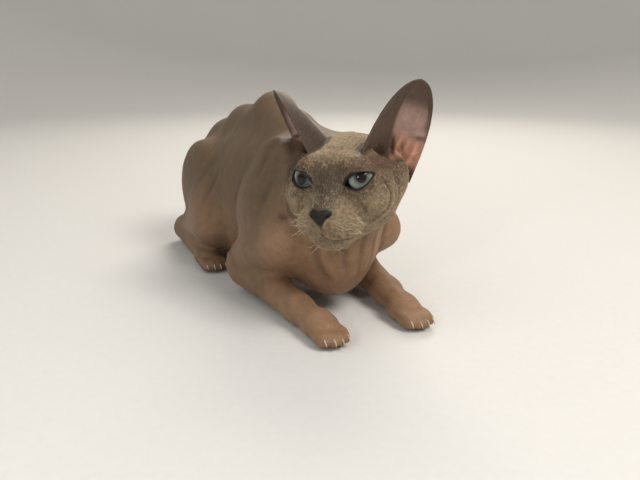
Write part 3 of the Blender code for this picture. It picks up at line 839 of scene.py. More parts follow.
CHEEK_FOLDS = [
    Fold([(37, -22, 4), (38.5, -20, -8), (34, -24, -20), (27, -29, -30)], 1.4, 1.5),
    Fold([(42, -10, 0), (43, -9, -12), (38, -13, -25), (30, -20, -34)], 1.5, 1.7),
    Fold([(41, -12, 12), (44, -8, 2), (44, -5, -10)], 0.9, 1.4),
    Fold([(20, -36, -8), (25, -33, -14), (27, -30, -22)], 0.9, 1.2),
    Fold([(15, -42, -8), (19, -40, -16), (23, -36, -24)], 0.8, 1.4),
    Fold([(33, -20, 16), (38, -15, 13), (41, -10, 8)], 0.7, 1.2),
    Fold([(9.5, -44, -8), (13.5, -40, -3), (14, -34, 2)], 0.8, 1.1),
]
NECK_FOLDS = [
    Fold([(-24, -158, 88), (-30, -150, 66), (-24, -146, 44), (-12, -150, 30)], 1.6, 2.6, False),
    Fold([(-8, -168, 84), (-12, -163, 66), (-9, -160, 46), (-3, -158, 32)], 1.1, 2.2, False),
    Fold([(6, -168, 84), (3, -164, 64), (4, -160, 44), (6, -156, 30)], 1.2, 2.2, False),
    Fold([(19, -160, 86), (15, -158, 66), (14, -155, 46), (12, -150, 32)], 1.0, 2.0, False),
    Fold([(34, -142, 96), (31, -142, 76), (28, -140, 56), (22, -142, 38)], 1.5, 2.6, False),
    Fold([(44, -124, 100), (43, -122, 80), (38, -126, 60)], 1.2, 2.8, False),
    Fold([(-38, -134, 100), (-42, -126, 82), (-40, -120, 64)], 1.4, 2.8, False),
    Fold([(-44, -112, 118), (-50, -104, 98), (-50, -98, 80)], 1.0, 3.0, False),
    Fold([(-30, -100, 138), (-44, -94, 124), (-52, -88, 106)], 0.9, 3.2, False),
    Fold([(30, -100, 138), (44, -94, 124), (52, -88, 106)], 0.9, 3.2, False),
]
BODY_FOLDS = [
    Fold([(50, -52, 96), (56, -46, 76), (57, -44, 56), (54, -46, 38)], 1.5, 3.4, False),
    Fold([(50, -40, 104), (58, -32, 84), (60, -26, 62)], 1.0, 3.2, False),
    Fold([(50, 14, 102), (60, 20, 84), (66, 24, 64)], 1.3, 3.6, False),
    Fold([(46, 30, 116), (57, 38, 98), (64, 44, 82)], 0.9, 3.4, False),
    Fold([(62, -62, 34), (64, -52, 40), (62, -40, 42)], 1.0, 2.0, False),
    Fold([(60, -72, 28), (64, -64, 36), (64, -54, 46)], 0.8, 1.8, False),
    Fold([(60, 18, 30), (68, 26, 36), (70, 38, 38)], 1.0, 2.2, False),
    Fold([(58, 108, 26), (62, 100, 36), (62, 88, 40)], 0.9, 2.2, False),
]


def all_folds():
    """Every fold of both sides, most of them in the breed's usual places."""
    head = forehead_folds() + both_sides(eye_folds()) + both_sides(CHEEK_FOLDS)
    return head + NECK_FOLDS + both_sides(BODY_FOLDS)


@functools.cache
def laid_folds():
    """Each fold with its route laid on the skin."""
    folds = all_folds()
    routes = [fold.route() for fold in folds]
    ends = np.cumsum([len(route) for route in routes])[:-1]
    return list(zip(folds, np.split(settled(np.vstack(routes), skin_field, steps=6), ends)))


def crease_depth(points):
    """How deep each point lies in a fold's crease, from 0 to 1, a little wider than the crease. The skin's
    colour is darkened by it as painted shade.
    """
    heights = sum(np.minimum(fold.height(points, route, 1.35), 0) for fold, route in laid_folds())
    return np.clip(-heights / 1.1, 0, 1)


def nearest_on(points, line):
    """How far each point is from a line of corners, and its share of the line there."""
    corners = np.array(line, float)
    start, along = corners[:-1], np.diff(corners, axis=0)
    away = points[:, None] - start[None]
    share = np.clip((away * along[None]).sum(axis=2) / (along**2).sum(axis=1), 0, 1)
    apart = np.linalg.norm(away - share[..., None] * along[None], axis=2)
    nearest = apart.argmin(axis=1)
    row = np.arange(len(points))
    return apart[row, nearest], (nearest + share[row, nearest]) / len(along)


def line_distance(points, line):
    """The distance of each point from a line of corners, all in one frame."""
    return nearest_on(points, line)[0]


def outline_depth(points, outline):
    """How far each X and Z is inside a closed outline, less outside it."""
    flat = np.stack([points[:, 0], np.zeros(len(points)), points[:, 2]], axis=1)
    corners = [(x, 0, z) for x, z in outline + outline[:1]]
    apart = line_distance(flat, corners)
    inside = np.zeros(len(points), bool)
    for (x0, _, z0), (x1, _, z1) in zip(corners, corners[1:]):
        spans = (z0 > points[:, 2]) != (z1 > points[:, 2])
        cross = (x1 - x0) * (points[:, 2] - z0) / (z1 - z0 if z1 != z0 else 1) + x0
        inside ^= spans & (points[:, 0] < cross)
    return np.where(inside, apart, -apart)


def nose_outline():
    """The nose leather's closed outline from the front, X and Z."""
    return NOSE_OUTLINE + [(-x, z) for x, z in reversed(NOSE_OUTLINE[1:-1])]


def seen_from_front(places):
    """Points or corners laid in one upright plane before the face."""
    return np.array(places, float) * np.array((1.0, 0.0, 1.0))


def mouth_line():
    """The lips' line from corner to corner, seen from the front."""
    return seen_from_front([(-x, y, z) for x, y, z in reversed(MOUTH[1:])] + MOUTH)


def lip_distances(local):
    """How far each point is from the mouth's line and from the split under the nose, from the front."""
    flat = seen_from_front(local)
    return line_distance(flat, mouth_line()), line_distance(flat, seen_from_front(PHILTRUM))


def nostril_line(side):
    """The nostril's middle line: from the middle of the nose out and back round its wing."""
    share = np.linspace(0, 1, 12)
    x = SIDES[side] * (2.6 + 5.6 * share)
    return np.stack([x, -60.5 + 9.5 * share**1.6, NOSTRIL_HEIGHT + 1.7 * share**2], axis=1)


def small_wrinkles(points):
    """Fine wavy lines that wrap each part of the cat, as stretched noise, from -1 to 1."""
    local = into(HEAD_PLACE, points)
    on_head = smooth(np.linalg.norm(local, axis=1), 66, 50)
    bend = 6 * noise(points, 17, 3)
    lengthwise = np.stack([local[:, 0] + bend, local[:, 1] * 0.28, local[:, 2] * 0.28], axis=1)
    upright = np.stack([points[:, 0] * 0.3, points[:, 1] + bend * 1.6, points[:, 2] * 0.22], axis=1)
    head = noise(lengthwise, 2.0, 5) * 2 - 1
    body = noise(upright, 4.2, 6) * 2 - 1
    return on_head * head * 0.5 + (1 - on_head) * body


def relief(points):
    """How far the skin stands off its smooth form at each point."""
    local = into(HEAD_PLACE, points)
    height = sum(fold.height(points, route) for fold, route in laid_folds())
    loose = smooth(points[:, 2], 150, 120) * smooth(points[:, 2], 2, 14)
    height += 0.26 * loose * small_wrinkles(points)
    face = (local[:, 1] < -30) & (np.abs(local[:, 0]) < 40)
    snout = local[face]
    nose = outline_depth(snout, nose_outline())
    ahead = snout[:, 1] < NOSE_FRONT
    leather = np.where(ahead, 0.5 * smooth(nose, -0.2, 1.2) - 0.5 * bell(nose, -0.4, 0.7), 0)
    lips, split = lip_distances(snout)
    lips += 3 * smooth(np.abs(snout[:, 0]), 15, 21)
    height[face] += leather - 1.3 * bell(lips, 0, 0.7) - 1.1 * bell(split, 0, 0.6)
    height[face] += 0.4 * bell(lips, 2.2, 1.2)
    for side in SIDES:
        rim, at_eye = lid_distance(points[face], side)
        height[face] += np.where(at_eye[:, 2] > 0, 0.55 * bell(rim, 0.6, 1.3), 0)
    return height * smooth(points[:, 2], 1, 6)


# The box of the skin's grid, and how far from the head's middle and how far back on the head each
# of two further splits goes
SKIN_BOX = ((-84, -226, -8), (132, 212, 172))
FINER_PLACES = ((64, 60), (57, -14))


def body_net():
    """The whole cat's skin without ears, finer on the head and finest on the face."""
    step = bpy.context.scene.sphynx_cat.skin_step / MM
    points, faces = closed_net(skin_field, *SKIN_BOX, step)
    mesh = mesh_of("skin", settled(points, skin_field, steps=3), faces)
    for reach, front in FINER_PLACES:
        centres = into(HEAD_PLACE, rows_of(mesh.polygons, "center") / MM + REST_POINT)
        chosen = (np.linalg.norm(centres, axis=1) < reach) & (centres[:, 1] < front)
        refine(mesh, chosen)
        move_points(mesh, settled(points_of(mesh), skin_field, steps=2))
    return mesh


def ear_mesh(side):
    """The ear as closed rings that run up its sheet: across the front, and back behind it.

    A ring's angle gives the place across as its cosine. The wall's half thickness follows the
    sine, so that both edges are round. The front carries the ledge, the ridges and the pocket.
    """
    rows, around, probe = 72, 112, 0.01
    length = ear_axes(side)[-1]
    angle = turns(around)
    closing = np.sin(np.linspace(0, 1, rows) * math.pi / 2)[:-1, None]
    v = (length + EAR_ROOT) * closing - EAR_ROOT + 0 * angle
    u = np.cos(angle)[None] + 0 * v
    sheet = ear_sheet(side, u, v)
    across = ear_sheet(side, u + probe, v) - ear_sheet(side, u - probe, v)
    along = ear_sheet(side, u, v + probe) - ear_sheet(side, u, v - probe)
    normal = np.cross(across, along)
    normal /= np.linalg.norm(normal, axis=2, keepdims=True)
    opening = np.array(EAR_OPENINGS[side]) * np.array((SIDES[side], 1, 1))
    normal *= np.sign((normal * opening).sum(axis=2, keepdims=True))
    rise = np.sin(angle)[None]
    share = np.clip(v / length, 0, 1)
    wall = EAR_WALL / 2 * np.sign(rise) * np.abs(rise) ** 0.45
    wall = wall + np.where(rise > 0, ear_front_relief(u, share), 0) * np.abs(rise) ** 0.3
    return ring_mesh("ear", sheet + normal * wall[..., None], HEAD_PLACE)


def ledge_edge(share):
    """Where the smooth inner strip of the ear ends and its cup begins, across the sheet."""
    return 0.3 - 0.75 * share


def ear_front_relief(u, share):
    """How far the ear's front stands out from its sheet, across and along."""
    low = smooth(share, 0.62, 0.3)
    height = 2.8 * smooth(u - ledge_edge(share), 0.02, -0.12) * smooth(u, -0.99, -0.7) * low
    for middle, slope, size, width in EAR_RIDGES:
        line = middle + slope * (share - EAR_RIDGE_START)
        height = height + size * bell(u, line, width) * smooth(share, 0.42, 0.2)
    for place, size in ((0.06, 1.6), (0.3, 1.7)):
        knob = bell(share - 0.1 * u, place, 0.03)
        height = height + size * knob * smooth(u, 0.6, 0.75) * smooth(u, 0.98, 0.88)
    fine = 0.1 * np.sin(26 * u + 9 * share) * smooth(share, 0.9, 0.5)
    return height + fine


def lid_rim(side):
    """The moist margin of the lids: a thin round edge that follows the almond over the eyeball."""
    outline = lid_outline(120)
    depth = np.sqrt(np.maximum((EYE_RADIUS + 0.35) ** 2 - (outline**2).sum(axis=1), 4))
    centre = np.column_stack([outline, depth])
    along = np.roll(centre, -1, axis=0) - np.roll(centre, 1, axis=0)
    along /= np.linalg.norm(along, axis=1, keepdims=True)
    outer = centre / np.linalg.norm(centre, axis=1, keepdims=True)
    rings = centre[:, None] + LID_RIM_RADIUS * circles(outer, np.cross(along, outer), turns(10))
    return ring_mesh("rim", rings, eye_matrix(side), loop=True)


def lid_opening(side):
    """A straight plug over the almond, from inside the eyeball to outside the lids."""
    outline = lid_outline(120)
    rings = np.stack([np.column_stack([outline, np.full(len(outline), z)]) for z in (2.0, 9.0, 16.0, 24.0)])
    return ring_mesh("opening", rings, eye_matrix(side))


def nostril(side):
    """A comma-shaped hole: an oval tube that curls back to the side of the nose."""
    centre = nostril_line(side)
    share = np.linspace(0, 1, len(centre))
    radius = 1.55 * np.sqrt(np.maximum(1 - (2 * share - 0.86) ** 2 * 0.9, 0.05))
    turn = turns(14)
    ring = np.stack([0.2 * np.cos(turn), 1.7 * np.cos(turn), 0.72 * np.sin(turn)], axis=1)
    return ring_mesh("nostril", centre[:, None] + radius[:, None, None] * ring[None], HEAD_PLACE)


def add_node(tree, kind, settings=None, links=None):
    """A node of that kind, with values for its sockets or its own settings, and links into it."""
    node = tree.nodes.new(kind)
    for key, value in (settings or {}).items():
        if isinstance(key, int) or key in node.inputs:
            node.inputs[key].default_value = value
        else:
            setattr(node, key, value)
    for key, source in (links or {}).items():
        tree.links.new(source, node.inputs[key])
    return node


def new_material(name, settings):
    """A material with one Principled shader, whose constants are set on its own sockets."""
    material = bpy.data.materials.new(name)
    material.use_nodes = True
    tree = material.node_tree
    shader = tree.nodes["Principled BSDF"]
    for key, value in settings.items():
        shader.inputs[key].default_value = value
    return material, tree, shader


def object_place(tree):
    """Each point's place in its object's own coordinates, in metres."""
    return add_node(tree, "ShaderNodeTexCoord").outputs["Object"]


def attribute(tree, name):
    """The node that reads one of the mesh's attributes."""
    return add_node(tree, "ShaderNodeAttribute", {"attribute_name": name})


def cloud(tree, place, scale, detail, distortion=0.0):
    """A noise value round 0.5, seldom outside 0.3 to 0.7. The scale is in cells a metre."""
    settings = {"Scale": scale, "Detail": detail, "Distortion": distortion}
    return add_node(tree, "ShaderNodeTexNoise", settings, {"Vector": place}).outputs["Fac"]


def spread(tree, value, low, high, start=0.3, end=0.7):
    """The value between start and end stretched to run from low to high."""
    settings = {"From Min": start, "From Max": end, "To Min": low, "To Max": high}
    return add_node(tree, "ShaderNodeMapRange", settings, {"Value": value}).outputs[0]


def calculated(tree, operation, first, second, *third):
    """A sum or product of values. Each one is a socket or a plain number."""
    node = add_node(tree, "ShaderNodeMath", {"operation": operation})
    for index, value in enumerate((first, second, *third)):
        if isinstance(value, (int, float)):
            node.inputs[index].default_value = value
        else:
            tree.links.new(value, node.inputs[index])
    return node.outputs[0]


def vector_node(tree, operation, links):
    """A vector calculation with its links."""
    return add_node(tree, "ShaderNodeVectorMath", {"operation": operation}, links).outputs


def bumped(tree, height, strength, distance, below=None):
    """A normal tipped by a height over another bump. The distance is in metres."""
    links = {"Height": height, "Normal": below} if below else {"Height": height}
    settings = {"Strength": strength, "Distance": distance}
    return add_node(tree, "ShaderNodeBump", settings, links).outputs["Normal"]


def ramp_colour(tree, value, stops):
    """A colour ramp through stops of place and sRGB hex value."""
    ramp = add_node(tree, "ShaderNodeValToRGB", {}, {"Fac": value})
    elements = ramp.color_ramp.elements
    while len(elements) < len(stops):
        elements.new(0.5)
    for element, (place, code) in zip(elements, stops):
        element.position = place
        element.color = rgba(code)
    return ramp.outputs["Color"]


def skin_material():
    """Living sphynx skin: matte like suede, a little light under it, with pores and short down.

    The colour comes from the point attribute tone. Mottling of 9 mm and 2.5 mm varies it, and
    the finest down shows as a grain of 0.9 mm, so coarse that it reads in the render.
    """
    material, tree, shader = new_material(
        "sphynx_skin",
        {
            "Subsurface Weight": 0.12,
            "Subsurface Radius": (1.0, 0.42, 0.26),
            "Subsurface Scale": 0.0022,
            "Sheen Weight": 0.05,
            "Sheen Roughness": 0.45,
            "Sheen Tint": rgba("#E6DDD0"),
            "IOR": 1.4,
        },
    )
    place = object_place(tree)
    tone = attribute(tree, "tone").outputs["Color"]
    down = attribute(tree, "down").outputs["Fac"]
    blotch = cloud(tree, place, 110, 4)
    grain = cloud(tree, place, 420, 3, 0.6)
    strand = cloud(tree, place, 1100, 2, 1.2)
    mottled = calculated(tree, "MULTIPLY", spread(tree, blotch, 0.86, 1.13), spread(tree, grain, 0.9, 1.1))
    hair = spread(tree, strand, 0.62, 1.36, 0.36, 0.66)
    with_hair = add_node(tree, "ShaderNodeMix", {"data_type": "FLOAT", 2: 1.0}, {0: down, 3: hair})
    shade = calculated(tree, "MULTIPLY", mottled, with_hair.outputs[0])
    colour = vector_node(tree, "SCALE", {"Vector": tone, "Scale": shade})["Vector"]
    pores = add_node(
        tree, "ShaderNodeTexVoronoi", {"feature": "DISTANCE_TO_EDGE", "Scale": 620}, {"Vector": place}
    )
    low = bumped(tree, grain, 0.35, 0.0004)
    cells = bumped(tree, pores.outputs["Distance"], 0.3, 0.00025, low)
    tree.links.new(colour, shader.inputs["Base Color"])
    tree.links.new(spread(tree, grain, 0.5, 0.68), shader.inputs["Roughness"])
    tree.links.new(bumped(tree, strand, 0.5, 0.0003, cells), shader.inputs["Normal"])
    return material


def down_material():
    """Short keratin hair, pale and soft: each strand is rough, with a light sheen along its edge."""
    material, tree, shader = new_material(
        "sphynx_down",
        {
            "Roughness": 0.62,
            "Sheen Weight": 0.4,
            "Sheen Roughness": 0.5,
            "Sheen Tint": rgba("#EFE2C8"),
            "Subsurface Weight": 0.1,
            "Subsurface Scale": 0.001,
            "IOR": 1.45,
        },
    )
    tone = attribute(tree, "tone").outputs["Color"]
    shade = spread(tree, cloud(tree, object_place(tree), 700, 2), 0.8, 1.2)
    colour = vector_node(tree, "SCALE", {"Vector": tone, "Scale": shade})["Vector"]
    tree.links.new(colour, shader.inputs["Base Color"])
    return material


def eye_material():
    """A cat's eye under its clear wet cornea: grey-green iris with fine fibres and a wide pupil.

    The UV map holds the place across the eye in its own frame. The stops run from the pupil's
    middle to 12 mm from it.
    """
    material, tree, shader = new_material(
        "wet_cat_eye",
        {
            "Roughness": 0.5,
            "Specular IOR Level": 0.1,
            "Coat Weight": 1.0,
            "Coat Roughness": 0.02,
            "Coat IOR": 1.376,
            "IOR": 1.376,
        },
    )
    half = EYE_MAP_SIZE / 2
    pupil_radii = (3.7, 4.5)
    stops = [
        (0.0, "#3C3A2E"),
        (0.27, "#4B4A3B"),
        (0.4, "#5F6054"),
        (0.52, "#808883"),
        (0.7, "#96A09B"),
        (0.8, "#858E8A"),
        (0.87, "#2F2F2A"),
        (0.94, "#241E1A"),
    ]
    plane = add_node(tree, "ShaderNodeUVMap", {"uv_map": "across_eye"}).outputs["UV"]
    to_middle = {"Location": (-half, -half, 0), "Scale": (EYE_MAP_SIZE, EYE_MAP_SIZE, 1)}
    middle = add_node(tree, "ShaderNodeMapping", to_middle, {"Vector": plane}).outputs["Vector"]
    parts = add_node(tree, "ShaderNodeSeparateXYZ", {}, {"Vector": middle}).outputs
    radius = vector_node(tree, "LENGTH", {"Vector": middle})["Value"]
    angle = calculated(tree, "ARCTAN2", parts["Y"], parts["X"])
    fan = calculated(tree, "MULTIPLY", angle, 7.0)
    out = calculated(tree, "MULTIPLY", radius, 0.32)
    fibre_place = add_node(tree, "ShaderNodeCombineXYZ", {}, {"X": fan, "Y": out}).outputs[0]
    fibre_settings = {"Scale": 1.6, "Detail": 5, "Roughness": 0.65, "Distortion": 0.3}
    fibre = add_node(tree, "ShaderNodeTexNoise", fibre_settings, {"Vector": fibre_place}).outputs["Fac"]
    ragged = calculated(tree, "MULTIPLY_ADD", fibre, 1.1, -0.55)
    reach = calculated(tree, "ADD", radius, ragged)
    iris = ramp_colour(tree, spread(tree, reach, 0.0, 1.0, 0.0, half), stops)
    streaked = vector_node(tree, "SCALE", {"Vector": iris, "Scale": spread(tree, fibre, 0.72, 1.2)})["Vector"]
    oval_scale = {"Scale": (1 / pupil_radii[0], 1 / pupil_radii[1], 0)}
    oval = add_node(tree, "ShaderNodeMapping", oval_scale, {"Vector": middle}).outputs["Vector"]
    outside = spread(tree, vector_node(tree, "LENGTH", {"Vector": oval})["Value"], 0.0, 1.0, 0.94, 1.06)
    colour = add_node(
        tree, "ShaderNodeMix", {"data_type": "RGBA", 6: rgba("#0A0908")}, {0: outside, 7: streaked}
    )
    tree.links.new(colour.outputs[2], shader.inputs["Base Color"])
    return material


def grained_material(name, settings, scale, dark, light):
    """A material of two near colours in a fine even grain."""
    material, tree, shader = new_material(name, settings)
    grain = cloud(tree, object_place(tree), scale, 3)
    colour = ramp_colour(tree, grain, ((0.0, dark), (1.0, light)))
    tree.links.new(colour, shader.inputs["Base Color"])
    return material


def horn_material():
    """Claw horn: layered keratin, translucent cream in a fine grain of darker and lighter, with a satin
    gloss.
    """
    settings = {"Roughness": 0.3, "Subsurface Weight": 0.2, "Subsurface Scale": 0.001, "IOR": 1.54}
    return grained_material("claw_horn", settings, 900, "#8E7C66", "#DDD0B8")


def floor_material():
    """Matt painted studio board: pale, even, with a faint roller grain."""
    return grained_material("pale_studio_board", {"Roughness": 0.85}, 160, "#D5D4D1", "#DBDAD7")


def mix(first, second, share):
    """A blend of two colours, or arrays of them, by a share for each point."""
    return first + (np.asarray(second) - first) * np.asarray(share)[:, None]


def ear_places(points, side):
    """For points near an ear: across, share of its length, how far off its sheet and in front of it.

    The sheet's formula is turned round: along and across come straight from its axes.
    """
    local = into(HEAD_PLACE, points) * np.array((SIDES[side], 1, 1))
    base, axis, opening, across, length = ear_axes(side)
    near = np.flatnonzero(np.linalg.norm(local - base - axis * length / 2, axis=1) < 52)
    away = local[near] - base
    v = away @ axis
    share = np.clip(v / length, 0, 0.995)
    width = ear_half_width(share)
    u = away @ across / width
    inside = np.clip(u, -1, 1)
    ahead = away @ opening + ear_bow(side, share, inside)
    past = np.abs(u - inside) * width
    high = np.maximum(v - length, 0) + np.maximum(-EAR_ROOT - v, 0)
    return near, inside, v / length, np.sqrt(ahead**2 + past**2 + high**2), ahead


def bridge_share(x, y, z):
    """1 down the bridge of the nose and between the brows, where the skin is darkest and barest."""
    width = 9 + 0.28 * np.clip(z + 12, 0, 30)
    along = smooth(z, -15.5, -12.5) * smooth(z, 20, 6)
    return smooth(np.abs(x), width + 4, width - 4) * along * smooth(y, -16, -30)


RUMP_TONE = linear("#66503E")
SPINE_TONE = linear("#574A3C")
FACE_TONE = linear("#5A4733")
BRIDGE_TONE = linear("#3E3326")
TEMPLE_TONE = linear("#503829")
LIP_TONE = linear("#1E1512")
NOSTRIL_SHADE_TONE = linear("#060404")
EYE_SOCKET_TONE = linear("#65533F")
PAD_TONE = linear("#7C5C53")
EAR_FOOT_TONE = linear("#B3826B")
EAR_RIDGE_HIGHLIGHT_TONE = linear("#D49A7E")
EAR_CREASE_SHADE_TONE = linear("#1E110D")
EAR_RIM_TONE = linear("#43332A")
WHISKER_TONE = linear("#E2D4B8")

# The dark line from the eye's inner corner down to the nose, in the eye's frame
TEAR_LINE = [(-EYE_HALF_LENGTH + 1, -0.3, 9), (-EYE_HALF_LENGTH - 3.6, -3.2, 8)]


def skin_tones(points, normals):
    """The colour of the coat and skin at each point, and how much down shows there.

    The skin is grey-brown, warmer on the chest, legs, thighs and feet, darker along the back and
    down the bridge of the nose, with pale down on the muzzle, cheeks, brow and chin. The ears are
    brown-lilac with a pink cup. Painted shade darkens the creases of the folds, and the fine wrinkles
    are painted lighter and darker as painted light and shade. Both the skin and the tufts take their
    colour from here.
    """
    local = into(HEAD_PLACE, points)
    on_head = smooth(joined(HEAD_FORMS, local), 9, 2) * smooth(np.linalg.norm(local, axis=1), 74, 58)
    patch = noise(points, 13, 12)
    face, fuzz = face_tones(local, patch)
    tone = mix(body_tones(points, normals), face, on_head)
    down = 0.16 + 0.1 * patch + on_head * (0.3 + 0.5 * fuzz)
    tone, down = snout_tones(local, on_head, tone, down)
    # Painted light and shade: the fine wrinkles are painted lighter and darker in streaks, and the folds'
    # creases are painted darker
    tone = tone * (1 + (0.06 + 0.16 * on_head) * small_wrinkles(points))[:, None]
    tone = tone * (1 - (0.3 + 0.25 * on_head) * crease_depth(points))[:, None]
    near = np.flatnonzero((local[:, 1] < -8) & on_head.astype(bool))
    for side in SIDES:
        add_lid_tones(points, side, near, tone, down)
    for side in SIDES:
        add_ear_tones(points, side, tone, down)
    under = smooth(normals[:, 2], -0.55, -0.95) * smooth(points[:, 2], 14, 3)
    return mix(tone, PAD_TONE, 0.7 * under), np.clip(down, 0, 1)


def body_tones(points, normals):
    """The body's colour: grey-brown, warmer low down and on the chest, greyer along the back."""
    colours = bpy.context.scene.sphynx_cat
    x, y, z = points.T
    broad = noise(points, 34, 11)
    low = smooth(z, 95, 40)
    front = smooth(y, -95, -135) * smooth(z, 118, 92)
    warmth = np.clip(0.55 * low + 0.75 * front + 0.5 * (broad - 0.5), 0, 1)
    tone = mix(np.tile(np.array(colours.skin_colour), (len(points), 1)), colours.warm_colour, warmth)
    tone = mix(tone, RUMP_TONE, 0.45 * smooth(y, 70, 120) * (0.5 + broad * 0.5))
    spine = smooth(np.abs(x), 26, 4) * smooth(normals[:, 2], 0.5, 0.9) * smooth(y, -110, -80)
    return mix(tone, SPINE_TONE, 0.35 * spine)


def face_tones(local, patch):
    """The face's colour, and the share of pale down on its muzzle, cheeks, crown and brow."""
    x, y, z = local.T
    muzzle = smooth(y, -24, -40) * smooth(z, -6, -16)
    cheek = smooth(z, 4, -14) * smooth(y, 22, -8)
    crown = smooth(z, 14, 21)
    brow = smooth(y, -34, -20) * smooth(z, 2, 14) * smooth(np.abs(x), 30, 22)
    fuzz = np.clip(0.95 * muzzle + 0.7 * cheek + 0.55 * crown + 0.4 * brow + 0.35 * (patch - 0.5), 0, 1)
    pale = bpy.context.scene.sphynx_cat.down_colour
    face = mix(np.tile(FACE_TONE, (len(local), 1)), pale, 0.4 * fuzz)
    face = mix(face, BRIDGE_TONE, 0.85 * bridge_share(x, y, z))
    temple = smooth(np.abs(x), 13, 22) * smooth(z, 5, 11) * smooth(z, 27, 15) * smooth(y, 12, -2)
    return mix(face, TEMPLE_TONE, 0.8 * temple), fuzz


def snout_tones(local, on_head, tone, down):
    """The colours with the nose leather, the dark lips, and painted shade inside the nostrils, all of them
    bare.
    """
    x, y = local[:, 0], local[:, 1]
    leather = smooth(outline_depth(local, nose_outline()), -0.5, 0.4) * (y < NOSE_FRONT)
    tone = mix(tone, bpy.context.scene.sphynx_cat.leather_colour, leather)
    lips, split = lip_distances(local)
    lips += 3 * smooth(np.abs(x), 14, 20)
    seam = np.maximum(smooth(lips, 1.1, 0.3), smooth(split, 1.2, 0.3)) * (y < -22) * on_head
    tone = mix(tone, LIP_TONE, 0.9 * seam)
    # Painted shade: the inside of each nostril is near-black
    for side in SIDES:
        hole = line_distance(seen_from_front(local), seen_from_front(nostril_line(side)))
        tone = mix(tone, NOSTRIL_SHADE_TONE, smooth(hole, 1.1, 0.7) * (y < NOSE_FRONT))
    return tone, down * (1 - leather) * (1 - seam)


def add_lid_tones(points, side, near, tone, down):
    """Near-black edges round one eye, wider above its inner corner, on the points near the eyes."""
    rim, at_eye = lid_distance(points[near], side)
    ahead = at_eye[:, 2] > 0
    band = 0.85 + 1.5 * smooth(at_eye[:, 0], 3, -5) * smooth(at_eye[:, 1], -0.5, 1.5)
    ring = np.where(ahead, smooth(rim / band, 1.15, 0.7), 0)
    ring = np.maximum(ring, smooth(line_distance(at_eye, TEAR_LINE), 1.7, 0.7) * ahead)
    socket = mix(tone[near], EYE_SOCKET_TONE, 0.3 * np.where(ahead, smooth(rim, 6, 1.5), 0))
    tone[near] = mix(socket, bpy.context.scene.sphynx_cat.lid_colour, ring)
    down[near] *= 1 - ring


def add_ear_tones(points, side, tone, down):
    """Brown-lilac on the back of the ear, darkened there as painted shade; a pink cup with a brown inner
    strip that is partly painted shade, orange folds at its foot with painted highlights on their ridges, and
    painted shade in its canal, pocket and crease; a dark rim.
    """
    colours = bpy.context.scene.sphynx_cat
    near, u, share, apart, ahead = ear_places(points, side)
    past = u - ledge_edge(share)
    # The brown strip along the cup's inner edge is partly the ear's darker furred skin and partly painted
    # shade on the wall that faces away from the light
    strip = smooth(past, 0.12, -0.04)
    tip = smooth(share, 0.55, 0.8)
    side_band = smooth(u, 0.78, 0.95) * smooth(share, 0.35, 0.5)
    canal = bell(past, 0.1, 0.07) * smooth(share, 0.36, 0.24) * smooth(share, 0.03, 0.1)
    pocket = bell(share, 0.35, 0.035) * smooth(u, 0.68, 0.8)
    crease = bell(past, 0.36, 0.04) * smooth(share, 0.3, 0.18)
    inside = np.tile(np.array(colours.cup_colour), (len(near), 1))
    inside = mix(inside, EAR_FOOT_TONE, 0.85 * smooth(share, 0.42, 0.22))
    inside = mix(inside, colours.ear_colour, np.clip(strip + 0.95 * tip + 0.8 * side_band, 0, 1))
    # Painted highlights: the ridges at the foot of the cup are painted lighter orange
    for middle, slope, _, _ in EAR_RIDGES:
        ridge = bell(u, middle + slope * (share - EAR_RIDGE_START), 0.06) * smooth(share, 0.36, 0.24)
        inside = mix(inside, EAR_RIDGE_HIGHLIGHT_TONE, 0.65 * ridge)
    # Painted shade: near-black in the ear's canal, in the pocket and along the crease
    inside = mix(inside, EAR_CREASE_SHADE_TONE, np.clip(0.95 * canal + 0.6 * pocket + 0.6 * crease, 0, 1))
    # Painted shade: the back of the ear is darker than the ear's own colour
    back = np.tile(np.array(colours.ear_colour) * 0.6, (len(near), 1))
    tint = mix(back, inside, smooth(ahead, -0.1, 0.5))
    tint = mix(tint, EAR_RIM_TONE, 0.7 * smooth(np.abs(u), 0.93, 0.99) * smooth(share, 0.2, 0.5))
    on_ear = smooth(apart, 8, 3) * smooth(share, -0.06, 0.06)
    tone[near] = mix(tone[near], tint, on_ear)
    down[near] += (0.12 - down[near]) * on_ear


def paint(mesh, tone, down=None):
    """Stores the colour, and the share of down, as attributes of the points."""
    layer = mesh.color_attributes.new("tone", "FLOAT_COLOR", "POINT")
    layer.data.foreach_set("color", np.column_stack([tone, np.ones(len(tone))]).astype(np.float32).ravel())
    if down is not None:
        layer = mesh.attributes.new("down", "FLOAT", "POINT")
        layer.data.foreach_set("value", down.astype(np.float32))


def add_map(mesh, name, places):
    """A UV map from a place for each point of the mesh."""
    corners = np.empty(len(mesh.loops), np.int32)
    mesh.loops.foreach_get("vertex_index", corners)
    layer = mesh.uv_layers.new(name=name)
    layer.data.foreach_set("uv", places[corners].astype(np.float32).ravel())


def make_skin():
    """The one skin: net, folds, then the lids' openings and nostrils cut, and ears and lid rims joined."""
    mesh = body_net()
    points, normals = points_of(mesh), normals_of(mesh)
    points += normals * relief(points)[:, None]
    points[:, 2] = np.maximum(points[:, 2], bpy.context.scene.sphynx_cat.coat_depth / MM)
    move_points(mesh, points)
    skin = object_of("skin", mesh)
    plugs = [lid_opening(side) for side in SIDES] + [nostril(side) for side in SIDES]
    combine(skin, merged("plugs", plugs), "DIFFERENCE")
    rooted = [ear_mesh(side) for side in SIDES] + [lid_rim(side) for side in SIDES]
    combine(skin, merged("rooted", rooted), "UNION")
    mesh = skin.data
    spare = [layer.name for layer in mesh.attributes if not (layer.is_internal or layer.is_required)]
    for name in spare:
        mesh.attributes.remove(mesh.attributes[name])
    tone, down = skin_tones(points_of(mesh), normals_of(mesh))
    paint(mesh, tone, down)
    mesh.materials.clear()
    mesh.materials.append(skin_material())
    mesh.shade_smooth()
    return skin


